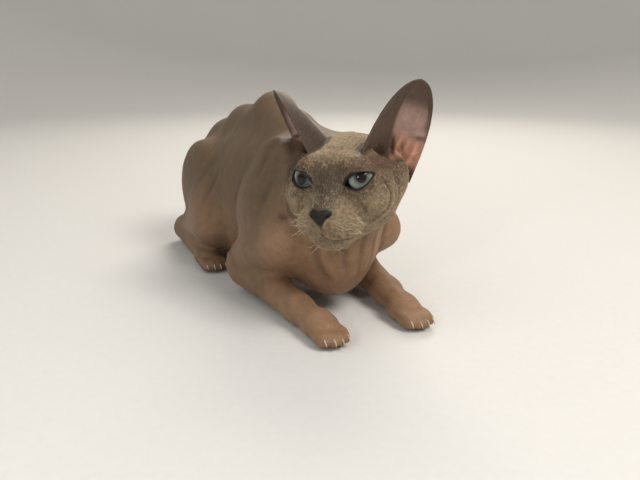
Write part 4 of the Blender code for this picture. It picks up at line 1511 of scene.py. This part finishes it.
def make_eye(side):
    """The eyeball from front to back: rings round its axis, with the cornea's low bulge in front."""
    polar = np.linspace(0.02, math.pi - 0.02, 56)[:, None]
    turn = turns(72)[None]
    radius = EYE_RADIUS - 0.35 + 0.55 * bell(polar, 0, 0.62)
    out, ahead = radius * np.sin(polar), radius * np.cos(polar)
    rings = np.stack([out * np.cos(turn), out * np.sin(turn), ahead + 0 * turn], axis=-1)
    mesh = ring_mesh("eye", rings, eye_matrix(side))
    across = into(eye_matrix(side), points_of(mesh))[:, :2] - np.array(PUPIL_PLACES[side])
    add_map(mesh, "across_eye", across / EYE_MAP_SIZE + 0.5)
    return object_of("wet_eye_" + side, mesh)


def random_roots(mesh, count, weight, seed):
    """Random places on the faces, by area times the weight of each face's middle, and the normals."""
    mesh.calc_loop_triangles()
    corners = np.empty(len(mesh.loop_triangles) * 3, np.int32)
    mesh.loop_triangles.foreach_get("vertices", corners)
    corners = corners.reshape(-1, 3)
    points, normals = points_of(mesh), normals_of(mesh)
    a, b, c = (points[corners[:, k]] for k in range(3))
    middle = (a + b + c) / 3
    area = np.linalg.norm(np.cross(b - a, c - a), axis=1) / 2
    chance = area * weight(middle)
    rng = np.random.default_rng(seed)
    face = rng.choice(len(area), count, p=chance / chance.sum())
    share = rng.random((count, 2))
    over = share.sum(axis=1) > 1
    share[over] = 1 - share[over]
    share = np.column_stack([1 - share.sum(axis=1), share])
    root = (points[corners[face]] * share[..., None]).sum(axis=1)
    normal = (normals[corners[face]] * share[..., None]).sum(axis=1)
    return root, normal / np.linalg.norm(normal, axis=1, keepdims=True)


def coat_lie(points):
    """The way the coat lies: back from the nose on the head, to the tail on the body, down the legs."""
    local = into(HEAD_PLACE, points)
    from_nose = local - np.array((0, -62, -18.0))
    from_nose[:, 2] *= 0.8
    head_way = from_nose @ np.array(HEAD_PLACE)[:3, :3].T
    head_way /= np.linalg.norm(head_way, axis=1, keepdims=True)
    body_way = np.tile(np.array((0, 1, -0.35)), (len(points), 1))
    legs = smooth(points[:, 2], 40, 22)[:, None]
    body_way = body_way * (1 - legs) + np.array((0, -1, -0.2)) * legs
    share = smooth(np.linalg.norm(local, axis=1), 82, 60)[:, None]
    return head_way * share + body_way * (1 - share)


# A tuft's faces by its points: three round the root, three round the middle and the tip
TUFT_FACES = (
    [(0, 2, 1)]
    + [face for a, b in ((0, 1), (1, 2), (2, 0)) for face in ((a, b, b + 3), (a, b + 3, a + 3))]
    + [(3, 4, 6), (4, 5, 6), (5, 3, 6)]
)
TUFT_PATCH = [(-1, -1), (1, -1), (0, -0.6), (-0.6, 0), (0.6, 0), (0, 0.3), (0, 1)]
TUFT_PATCH_SIZE = 0.003


def tufts(name, mesh, count, weight, length, width, lift, seed, pale):
    """Solid tapered strands: a three-sided root, a bent middle and a tip, leaning along the lie.

    Length and width are in millimetres, and lift is the share of the normal in the strand's
    direction. Weight, length and pale are worked out for each root. Each strand has a patch of
    the coat's map, at its root's place on the unwrap.
    """
    root, normal = random_roots(mesh, count, weight, seed)
    rng = np.random.default_rng(seed + 1)
    way = coat_lie(root) + 0.45 * rng.normal(size=(count, 3))
    way -= normal * (way * normal).sum(axis=1, keepdims=True)
    way /= np.maximum(np.linalg.norm(way, axis=1, keepdims=True), 1e-6)
    beside = np.cross(normal, way)
    long = (length(root) * rng.uniform(0.6, 1.25, count))[:, None]
    thick = (width * rng.uniform(0.75, 1.25, count))[:, None, None]
    rise = np.clip(lift * rng.uniform(0.6, 1.4, count), 0.05, 1)[:, None]
    curl = rng.normal(0, 0.22, count)[:, None]
    heading = way * np.sqrt(1 - np.minimum(rise, 0.98) ** 2) + normal * rise
    middle = root + heading * long * 0.52 + beside * curl * long * 0.3
    tip = middle + (heading - normal * rise * 0.75 + beside * curl) * long * 0.5
    start = root - normal * 0.12
    ring = circles(beside, normal, np.radians((90, 210, 330))) * thick
    points = np.concatenate([start[:, None] + ring, middle[:, None] + ring * 0.6, tip[:, None]], axis=1)
    around = points.shape[1]
    faces = (np.arange(count)[:, None, None] * around + np.array(TUFT_FACES)[None]).reshape(-1, 3)
    piece = mesh_of(name, points.reshape(-1, 3), faces)
    tone, _ = skin_tones(root, normal)
    pale_share = np.clip(pale(root) * rng.uniform(0.7, 1.3, count), 0, 1)
    tone = mix(tone, bpy.context.scene.sphynx_cat.down_colour, pale_share)
    paint(piece, np.repeat(tone, around, axis=0))
    patch = np.array(TUFT_PATCH) * TUFT_PATCH_SIZE / 2
    add_map(piece, "OFBake", (unwrapped_places(root)[:, None] + patch[None]).reshape(-1, 2))
    return object_of(name, piece)


# The map's tiles: a low corner and a size for the trunk, the tail and the head
TRUNK_TILE = ((0.02, 0.02), (0.5, 0.46))
TAIL_TILE = ((0.02, 0.52), (0.1, 0.46))
HEAD_TILE = ((0.15, 0.52), (0.5, 0.46))
LEG_TILE_SIZE = (0.2, 0.21)
EAR_TILE_SIZE = (0.13, 0.21)
EAR_BACK_STEP = 0.2325
LEG_STRETCHES = ((-215, -30), (-10, 150))


def tile(across, along, low, size):
    """A share across and along put into a tile of the map."""
    return np.array(low) + np.array(size) * np.clip(np.stack([across, along], axis=1), 0, 1)


def unwrapped_places(points):
    """An unwrap of the skin's own shape: each part rolled out round its axis, in a tile of its own.

    The trunk, the legs and the tail are unrolled as tubes, by the angle round the axis and the
    place along it, the head as a globe, and the ears as their own sheets, front and back.
    """
    x, y, z = points.T
    places = tile(np.arctan2(x, z - 70) / (2 * math.pi) + 0.5, (y + 230) / 440, *TRUNK_TILE)
    for index, sign in enumerate(SIDES.values()):
        for place, (low, high) in enumerate(LEG_STRETCHES):
            leg = (sign * x > 24) & (z < 32) & (y > low) & (y < high) & (sign * x < 80)
            turn = np.arctan2(sign * x - 50, z - 13) / (2 * math.pi) + 0.5
            corner = (0.55 + 0.22 * index, 0.02 + 0.24 * place)
            places[leg] = tile(turn, (y - low) / (high - low), corner, LEG_TILE_SIZE)[leg]
    route = smooth_route(TAIL.route, 8)
    near = np.flatnonzero((z < 80) & (y > -50) & ((x > 68) | (y > 145)))
    apart = np.linalg.norm(points[near, None] - route[None, :, :3], axis=2)
    spot = apart.argmin(axis=1)
    close = apart.min(axis=1) < route[spot, 3] + 3
    away = points[near] - route[spot, :3]
    turn = np.arctan2(away[:, 2], np.hypot(away[:, 0], away[:, 1]) * np.sign(away[:, 0] + 0.01))
    rolled = tile(turn / (2 * math.pi) + 0.5, spot / len(route), *TAIL_TILE)
    places[near[close]] = rolled[close]
    local = into(HEAD_PLACE, points)
    head = (np.linalg.norm(local, axis=1) < 66) & (joined(HEAD_FORMS, local) < 4)
    long = np.arctan2(local[:, 0], -local[:, 1]) / (2 * math.pi) + 0.5
    high = np.arctan2(local[:, 2] + 10, np.hypot(local[:, 0], local[:, 1])) / math.pi + 0.5
    places[head] = tile(long, high, *HEAD_TILE)[head]
    for index, side in enumerate(SIDES):
        near, u, share, apart, ahead = ear_places(points, side)
        on_ear = (apart < 5) & (share > 0.02)
        sheet = tile(u / 2 + 0.5, share, (0.67 + 0.16 * index, 0.52), EAR_TILE_SIZE)
        sheet[:, 1] += np.where(ahead > 0, 0, EAR_BACK_STEP)
        places[near[on_ear]] = sheet[on_ear]
    return places


def even(value):
    """A function that gives every root the same value."""
    return lambda points: np.full(len(points), float(value))


def face_share(points):
    """1 on the muzzle and chin, less on cheeks and brow, 0 behind the head and on ears and eyes."""
    local = into(HEAD_PLACE, points)
    x, y, z = local.T
    on_head = smooth(joined(HEAD_FORMS, local), 4, 1.5) * smooth(np.linalg.norm(local, axis=1), 70, 60)
    muzzle = smooth(y, -20, -38) * smooth(z, -4, -14)
    cheek = smooth(z, 8, -10) * smooth(y, 24, -6)
    crown = smooth(z, 10, 20)
    clump = 0.5 + 0.9 * smooth(noise(points, 1.5, 21), 0.35, 0.65)
    temple = smooth(np.abs(x), 12, 22) * smooth(z, 5, 11) * smooth(z, 27, 15)
    bare = (1 - 0.8 * bridge_share(x, y, z)) * (1 - 0.75 * temple) * (1 - 0.7 * crease_depth(points))
    share = on_head * np.clip(0.14 + muzzle + 0.45 * cheek + 0.42 * crown, 0, 1) * clump * bare
    share = share * ((outline_depth(local, nose_outline()) < -0.6) | (y > NOSE_FRONT))
    lips, split = lip_distances(local)
    share = share * (np.minimum(lips, split) > 0.8)
    for side in SIDES:
        rim, at_eye = lid_distance(points, side)
        share = share * np.where(at_eye[:, 2] > 0, rim > 1.6, True)
        near, _, _, apart, _ = ear_places(points, side)
        share[near] *= smooth(apart, 3, 8)
    return share


def ear_share(points):
    """1 along the rims and the back of the ears, a little in their cups."""
    share = np.zeros(len(points))
    for side in SIDES:
        near, u, along, apart, _ = ear_places(points, side)
        rim = smooth(np.abs(u), 0.8, 0.96)
        value = (0.25 + rim) * (apart < 3.5) * smooth(along, 0.02, 0.1)
        share[near] = np.maximum(share[near], value)
    return share


def body_share(points):
    """The rest of the skin, evenly, with more on the feet and the tail's end."""
    local = into(HEAD_PLACE, points)
    away = smooth(np.linalg.norm(local, axis=1), 56, 70)
    feet = smooth(points[:, 2], 34, 18) * smooth(np.abs(points[:, 0]), 24, 32)
    tail = smooth(points[:, 0], 84, 96)
    return away * (0.35 + 0.8 * feet + 0.6 * tail) * smooth(points[:, 2], 1.5, 4)


def make_coat(skin):
    """The down in pieces: the face's longest, short rims on the ears, and a sparse coat elsewhere."""
    full = bpy.context.scene.sphynx_cat.down_length / MM

    def face_length(points):
        y = into(HEAD_PLACE, points)[:, 1]
        return full * (0.6 + 0.65 * smooth(y, -20, -42))

    def face_pale(points):
        return 0.95 * smooth(noise(points, 1.0, 31), 0.3, 0.62)

    # Pieces' names, tufts a piece, where, length, width, lift, first seed and paleness
    face = (numbered("face_down"), 19500, face_share, face_length, 0.11, 0.45, 100, face_pale)
    ears = (["ear_down"], 9000, ear_share, even(0.8), 0.06, 0.3, 200, even(0.3))
    body = (numbered("body_down"), 19500, body_share, even(0.95), 0.06, 0.3, 300, even(0.22))
    fewer = 1
    material = down_material()
    pieces = []
    for names, count, share, length, width, lift, seed, pale in (face, ears, body):
        for index, name in enumerate(names):
            piece = tufts(name, skin.data, count // fewer, share, length, width, lift, seed + index, pale)
            piece.data.materials.append(material)
            pieces.append(piece)
    return pieces


def numbered(name):
    """Three names from one, so that each piece of the coat stays under 200,000 triangles."""
    return [f"{name}_{index}" for index in (1, 2, 3)]


def tube(route, radii, sides):
    """Rings round a smooth route of points, with a radius for each one."""
    along = np.gradient(route, axis=0)
    along /= np.linalg.norm(along, axis=1, keepdims=True)
    helper = np.array((0.31, 0.17, 0.93))
    beside = np.cross(along, helper)
    beside /= np.linalg.norm(beside, axis=1, keepdims=True)
    over = np.cross(beside, along)
    return route[:, None] + circles(beside, over, turns(sides)) * radii[:, None, None]


def whisker_routes():
    """Short curled whiskers in rows on the muzzle and two on the chin, in the cat's frame.

    Each runs out from its root and bends back and down, with a small wave that grows to the tip.
    """
    rng = np.random.default_rng(41)
    share = np.linspace(0, 1, 16)[:, None]
    routes = []
    for side in SIDES.values():
        roots = [
            (side * (9 + 3.4 * column), -53 + 3.3 * column, -21.5 - 3.1 * row)
            for row in range(3)
            for column in range(4)
        ]
        roots += [(side * 4, -47, -41), (side * 8, -44, -42)]
        on_skin = settled(out_of(HEAD_PLACE, np.array(roots, float)), skin_field, steps=6)
        for local in into(HEAD_PLACE, on_skin):
            long = rng.uniform(7, 14)
            way = np.array((side * 0.8, -0.25, rng.uniform(-0.35, 0.25)))
            bend = np.array((0, rng.uniform(0.3, 0.9), rng.uniform(-0.7, 0.1)))
            wave = np.array((0.1 * side, 0.5, 0.8)) * rng.uniform(0.05, 0.16)
            route = local - way * 0.6 + way * share * long + bend * share**2 * long * 0.5
            route = route + wave * np.sin(share * rng.uniform(5, 9)) * share * long
            routes.append(out_of(HEAD_PLACE, route))
    return routes


def make_whiskers():
    """All the whiskers as one piece of thin tapered tubes."""
    tubes = [tube(route, np.linspace(0.16, 0.04, len(route)), 6) for route in whisker_routes()]
    mesh = tube_mesh("whiskers", tubes)
    paint(mesh, np.tile(WHISKER_TONE, (len(mesh.vertices), 1)))
    return object_of("whiskers", mesh)


def claw_roots():
    """The front of each toe, where its claw is rooted."""
    roots = []
    for foot in (FRONT_TOES, HIND_TOES):
        for place in TOE_PLACES:
            x, y, z = toe_centre(*foot, place)
            roots.append((x, y - foot[2] * 0.53, z - 0.4))
    return roots + [(-x, y, z) for x, y, z in roots]


def make_claws():
    """Sheathed claws: curved horns, flat at the sides, of which only the tips show past the toes."""
    share = np.linspace(0, 1, 9)
    horns = []
    for x, y, z in claw_roots():
        back, down = 5.6 * np.sin(share * 1.25), 4.2 * share**2
        route = np.stack([0 * share + x, y + 2.6 - back, z + 1.6 - down], axis=1)
        rings = tube(route, 1.25 * (1 - share) ** 0.7 + 0.03, 10)
        rings[..., 0] = x + (rings[..., 0] - x) * 0.55
        horns.append(rings)
    return object_of("claws", tube_mesh("claws", horns))


# The studio floor's flat radius, the bend up to its wall and the wall's top, in millimetres
FLOOR_RADIUS = 1500
WALL_BEND = 900
WALL_TOP = 3600
FLOOR_TURNS = 96

# Each light's name, place and size in metres, power in watts and colour. The small one gives
# the glint in the eyes
LIGHT_TARGET = (0, -0.15, 0.09)
LIGHTS = (
    ("key", (0.4, -1.1, 1.25), 0.7, 18, "#FFFAF4"),
    ("fill", (-1.2, -0.3, 1.4), 1.2, 6, "#F5F6F8"),
    ("catch", (-0.75, -0.75, 0.44), 0.08, 1.6, "#FFFFFF"),
    ("rim", (0.75, 0.85, 1.1), 0.8, 13, "#FFF6EB"),
)


def make_floor():
    """A round studio floor that turns up into a wall: a profile carried round the upright axis."""
    bend = np.radians(np.linspace(0, 90, 24))[1:]
    flat = np.linspace(0, FLOOR_RADIUS, 12)[1:]
    radius = np.concatenate([flat, FLOOR_RADIUS + WALL_BEND * np.sin(bend), [FLOOR_RADIUS + WALL_BEND]])
    height = np.concatenate([0 * flat, WALL_BEND * (1 - np.cos(bend)), [WALL_TOP]])
    turn = turns(FLOOR_TURNS)
    across, along = radius[:, None] * np.cos(turn), radius[:, None] * np.sin(turn)
    rings = np.stack([across, along + REST_POINT[1], height[:, None] + 0 * turn], axis=-1)
    points, quads, caps = ring_surface(rings)
    floor = object_of("studio_floor", mesh_of("studio_floor", points, quads, caps[:FLOOR_TURNS]))
    floor.data.flip_normals()
    floor.data.materials.append(floor_material())


def turn_to(obj, place, way):
    """Puts a light or camera into the scene at a place in metres, looking the way of a vector."""
    bpy.context.scene.collection.objects.link(obj)
    obj.location = place
    obj.rotation_euler = Vector(way).to_track_quat("-Z", "Y").to_euler()


def make_lights():
    """Three soft square lights, a small one for the glint in the eyes, and an even sky."""
    for name, place, size, power, colour in LIGHTS:
        light = bpy.data.lights.new(name, "AREA")
        light.size = size
        light.energy = power
        light.color = linear(colour)
        turn_to(bpy.data.objects.new(name, light), place, Vector(LIGHT_TARGET) - Vector(place))
    world = bpy.data.worlds.new("studio")
    bpy.context.scene.world = world
    world.use_nodes = True
    sky = world.node_tree.nodes["Background"]
    sky.inputs["Color"].default_value = rgba("#EBEBEA")
    sky.inputs["Strength"].default_value = 0.42


def make_camera():
    """The camera at the photo's viewing angle, with the photo's framing."""
    camera = bpy.data.cameras.new("camera")
    camera.sensor_width = 36
    camera.lens = PHOTO_FOCAL_LENGTH * camera.sensor_width / PHOTO_WIDTH
    camera.clip_start = 0.01
    obj = bpy.data.objects.new("camera", camera)
    turn_to(obj, [(place - rest) * MM for place, rest in zip(CAMERA_PLACE, REST_POINT)], CAMERA_WAY)
    bpy.context.scene.camera = obj
    bpy.context.scene.view_settings.view_transform = "Standard"


def length_setting(name, description, metres):
    """A length that the panel shows."""
    return bpy.props.FloatProperty(name=name, description=description, default=metres, unit="LENGTH")


def colour_setting(name, description, code):
    """A colour that the panel shows, from its sRGB hex value."""
    return bpy.props.FloatVectorProperty(
        name=name, description=description, default=linear(code), subtype="COLOR"
    )


class SphynxCatSettings(bpy.types.PropertyGroup):
    """Sizes and colours of the cat's looks."""

    skin_step: length_setting("Skin step", "Grid of the first skin", 0.0027)
    coat_depth: length_setting("Coat depth", "How far the skin lies inside the solids", 0.0004)
    down_length: length_setting("Down length", "Length of the longest down, on the muzzle", 0.002)
    skin_colour: colour_setting("Skin", "Grey-brown of the body", "#624F3C")
    warm_colour: colour_setting("Warm skin", "Chest, legs and feet", "#8A6B51")
    down_colour: colour_setting("Down", "Pale down of the muzzle and brow", "#C6AE8E")
    ear_colour: colour_setting("Ear", "Brown-lilac of the ears", "#4E3A2D")
    cup_colour: colour_setting("Ear cup", "Pink inside of the ears", "#A4867C")
    leather_colour: colour_setting("Nose leather", "Dark brown of the nose", "#120A07")
    lid_colour: colour_setting("Lid margin", "Near-black edge of the lids", "#0A0706")


class SPHYNX_OT_skin(bpy.types.Operator):
    """Make the one skin that covers every node of flesh"""

    bl_idname = "sphynx.skin"
    bl_label = "Skin"

    def execute(self, context):
        skin = make_skin()
        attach(skin, "root")
        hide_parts(*FLESH_NODES)
        return {"FINISHED"}


class SPHYNX_OT_eyes(bpy.types.Operator):
    """Make both eyes, with iris, pupil and the cornea's bulge"""

    bl_idname = "sphynx.eyes"
    bl_label = "Eyes"

    def execute(self, context):
        material = eye_material()
        for side in SIDES:
            eye = make_eye(side)
            eye.data.materials.append(material)
            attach(eye, "root")
            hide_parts("eye_" + side)
        return {"FINISHED"}


class SPHYNX_OT_down(bpy.types.Operator):
    """Grow the short down over the skin"""

    bl_idname = "sphynx.down"
    bl_label = "Down"

    def execute(self, context):
        for piece in make_coat(bpy.data.objects["skin"]):
            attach(piece, "root")
        return {"FINISHED"}


class SPHYNX_OT_whiskers(bpy.types.Operator):
    """Make the short curled whiskers"""

    bl_idname = "sphynx.whiskers"
    bl_label = "Whiskers"

    def execute(self, context):
        whiskers = make_whiskers()
        whiskers.data.materials.append(bpy.data.materials.get("sphynx_down") or down_material())
        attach(whiskers, "root")
        return {"FINISHED"}


class SPHYNX_OT_claws(bpy.types.Operator):
    """Make the tips of the sheathed claws"""

    bl_idname = "sphynx.claws"
    bl_label = "Claws"

    def execute(self, context):
        claws = make_claws()
        claws.data.materials.append(horn_material())
        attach(claws, "root")
        return {"FINISHED"}


class SPHYNX_OT_stage(bpy.types.Operator):
    """Make the floor, the lights and the camera"""

    bl_idname = "sphynx.stage"
    bl_label = "Stage"

    def execute(self, context):
        make_floor()
        make_lights()
        make_camera()
        return {"FINISHED"}


OPERATORS = (
    SPHYNX_OT_skin,
    SPHYNX_OT_eyes,
    SPHYNX_OT_down,
    SPHYNX_OT_whiskers,
    SPHYNX_OT_claws,
    SPHYNX_OT_stage,
)


class SPHYNX_PT_panel(bpy.types.Panel):
    """Sizes, colours and makers of the sphynx cat"""

    bl_label = "Sphynx cat"
    bl_idname = "SPHYNX_PT_panel"
    bl_space_type = "VIEW_3D"
    bl_region_type = "UI"
    bl_category = "Sphynx cat"

    def draw(self, context):
        settings = context.scene.sphynx_cat
        for name in SphynxCatSettings.__annotations__:
            self.layout.prop(settings, name)
        for operator in OPERATORS:
            self.layout.operator(operator.bl_idname)


def register():
    """Adds the settings, the operators and the panel to Blender."""
    for kind in (SphynxCatSettings, *OPERATORS, SPHYNX_PT_panel):
        bpy.utils.register_class(kind)
    bpy.types.Scene.sphynx_cat = bpy.props.PointerProperty(type=SphynxCatSettings)


def unregister():
    """Takes them out again, last one first."""
    del bpy.types.Scene.sphynx_cat
    for kind in (SPHYNX_PT_panel, *reversed(OPERATORS), SphynxCatSettings):
        bpy.utils.unregister_class(kind)


def main():
    """Makes every piece."""
    register()
    bpy.ops.sphynx.skin()
    bpy.ops.sphynx.eyes()
    bpy.ops.sphynx.down()
    bpy.ops.sphynx.whiskers()
    bpy.ops.sphynx.claws()
    bpy.ops.sphynx.stage()


if __name__ == "__main__":
    main()
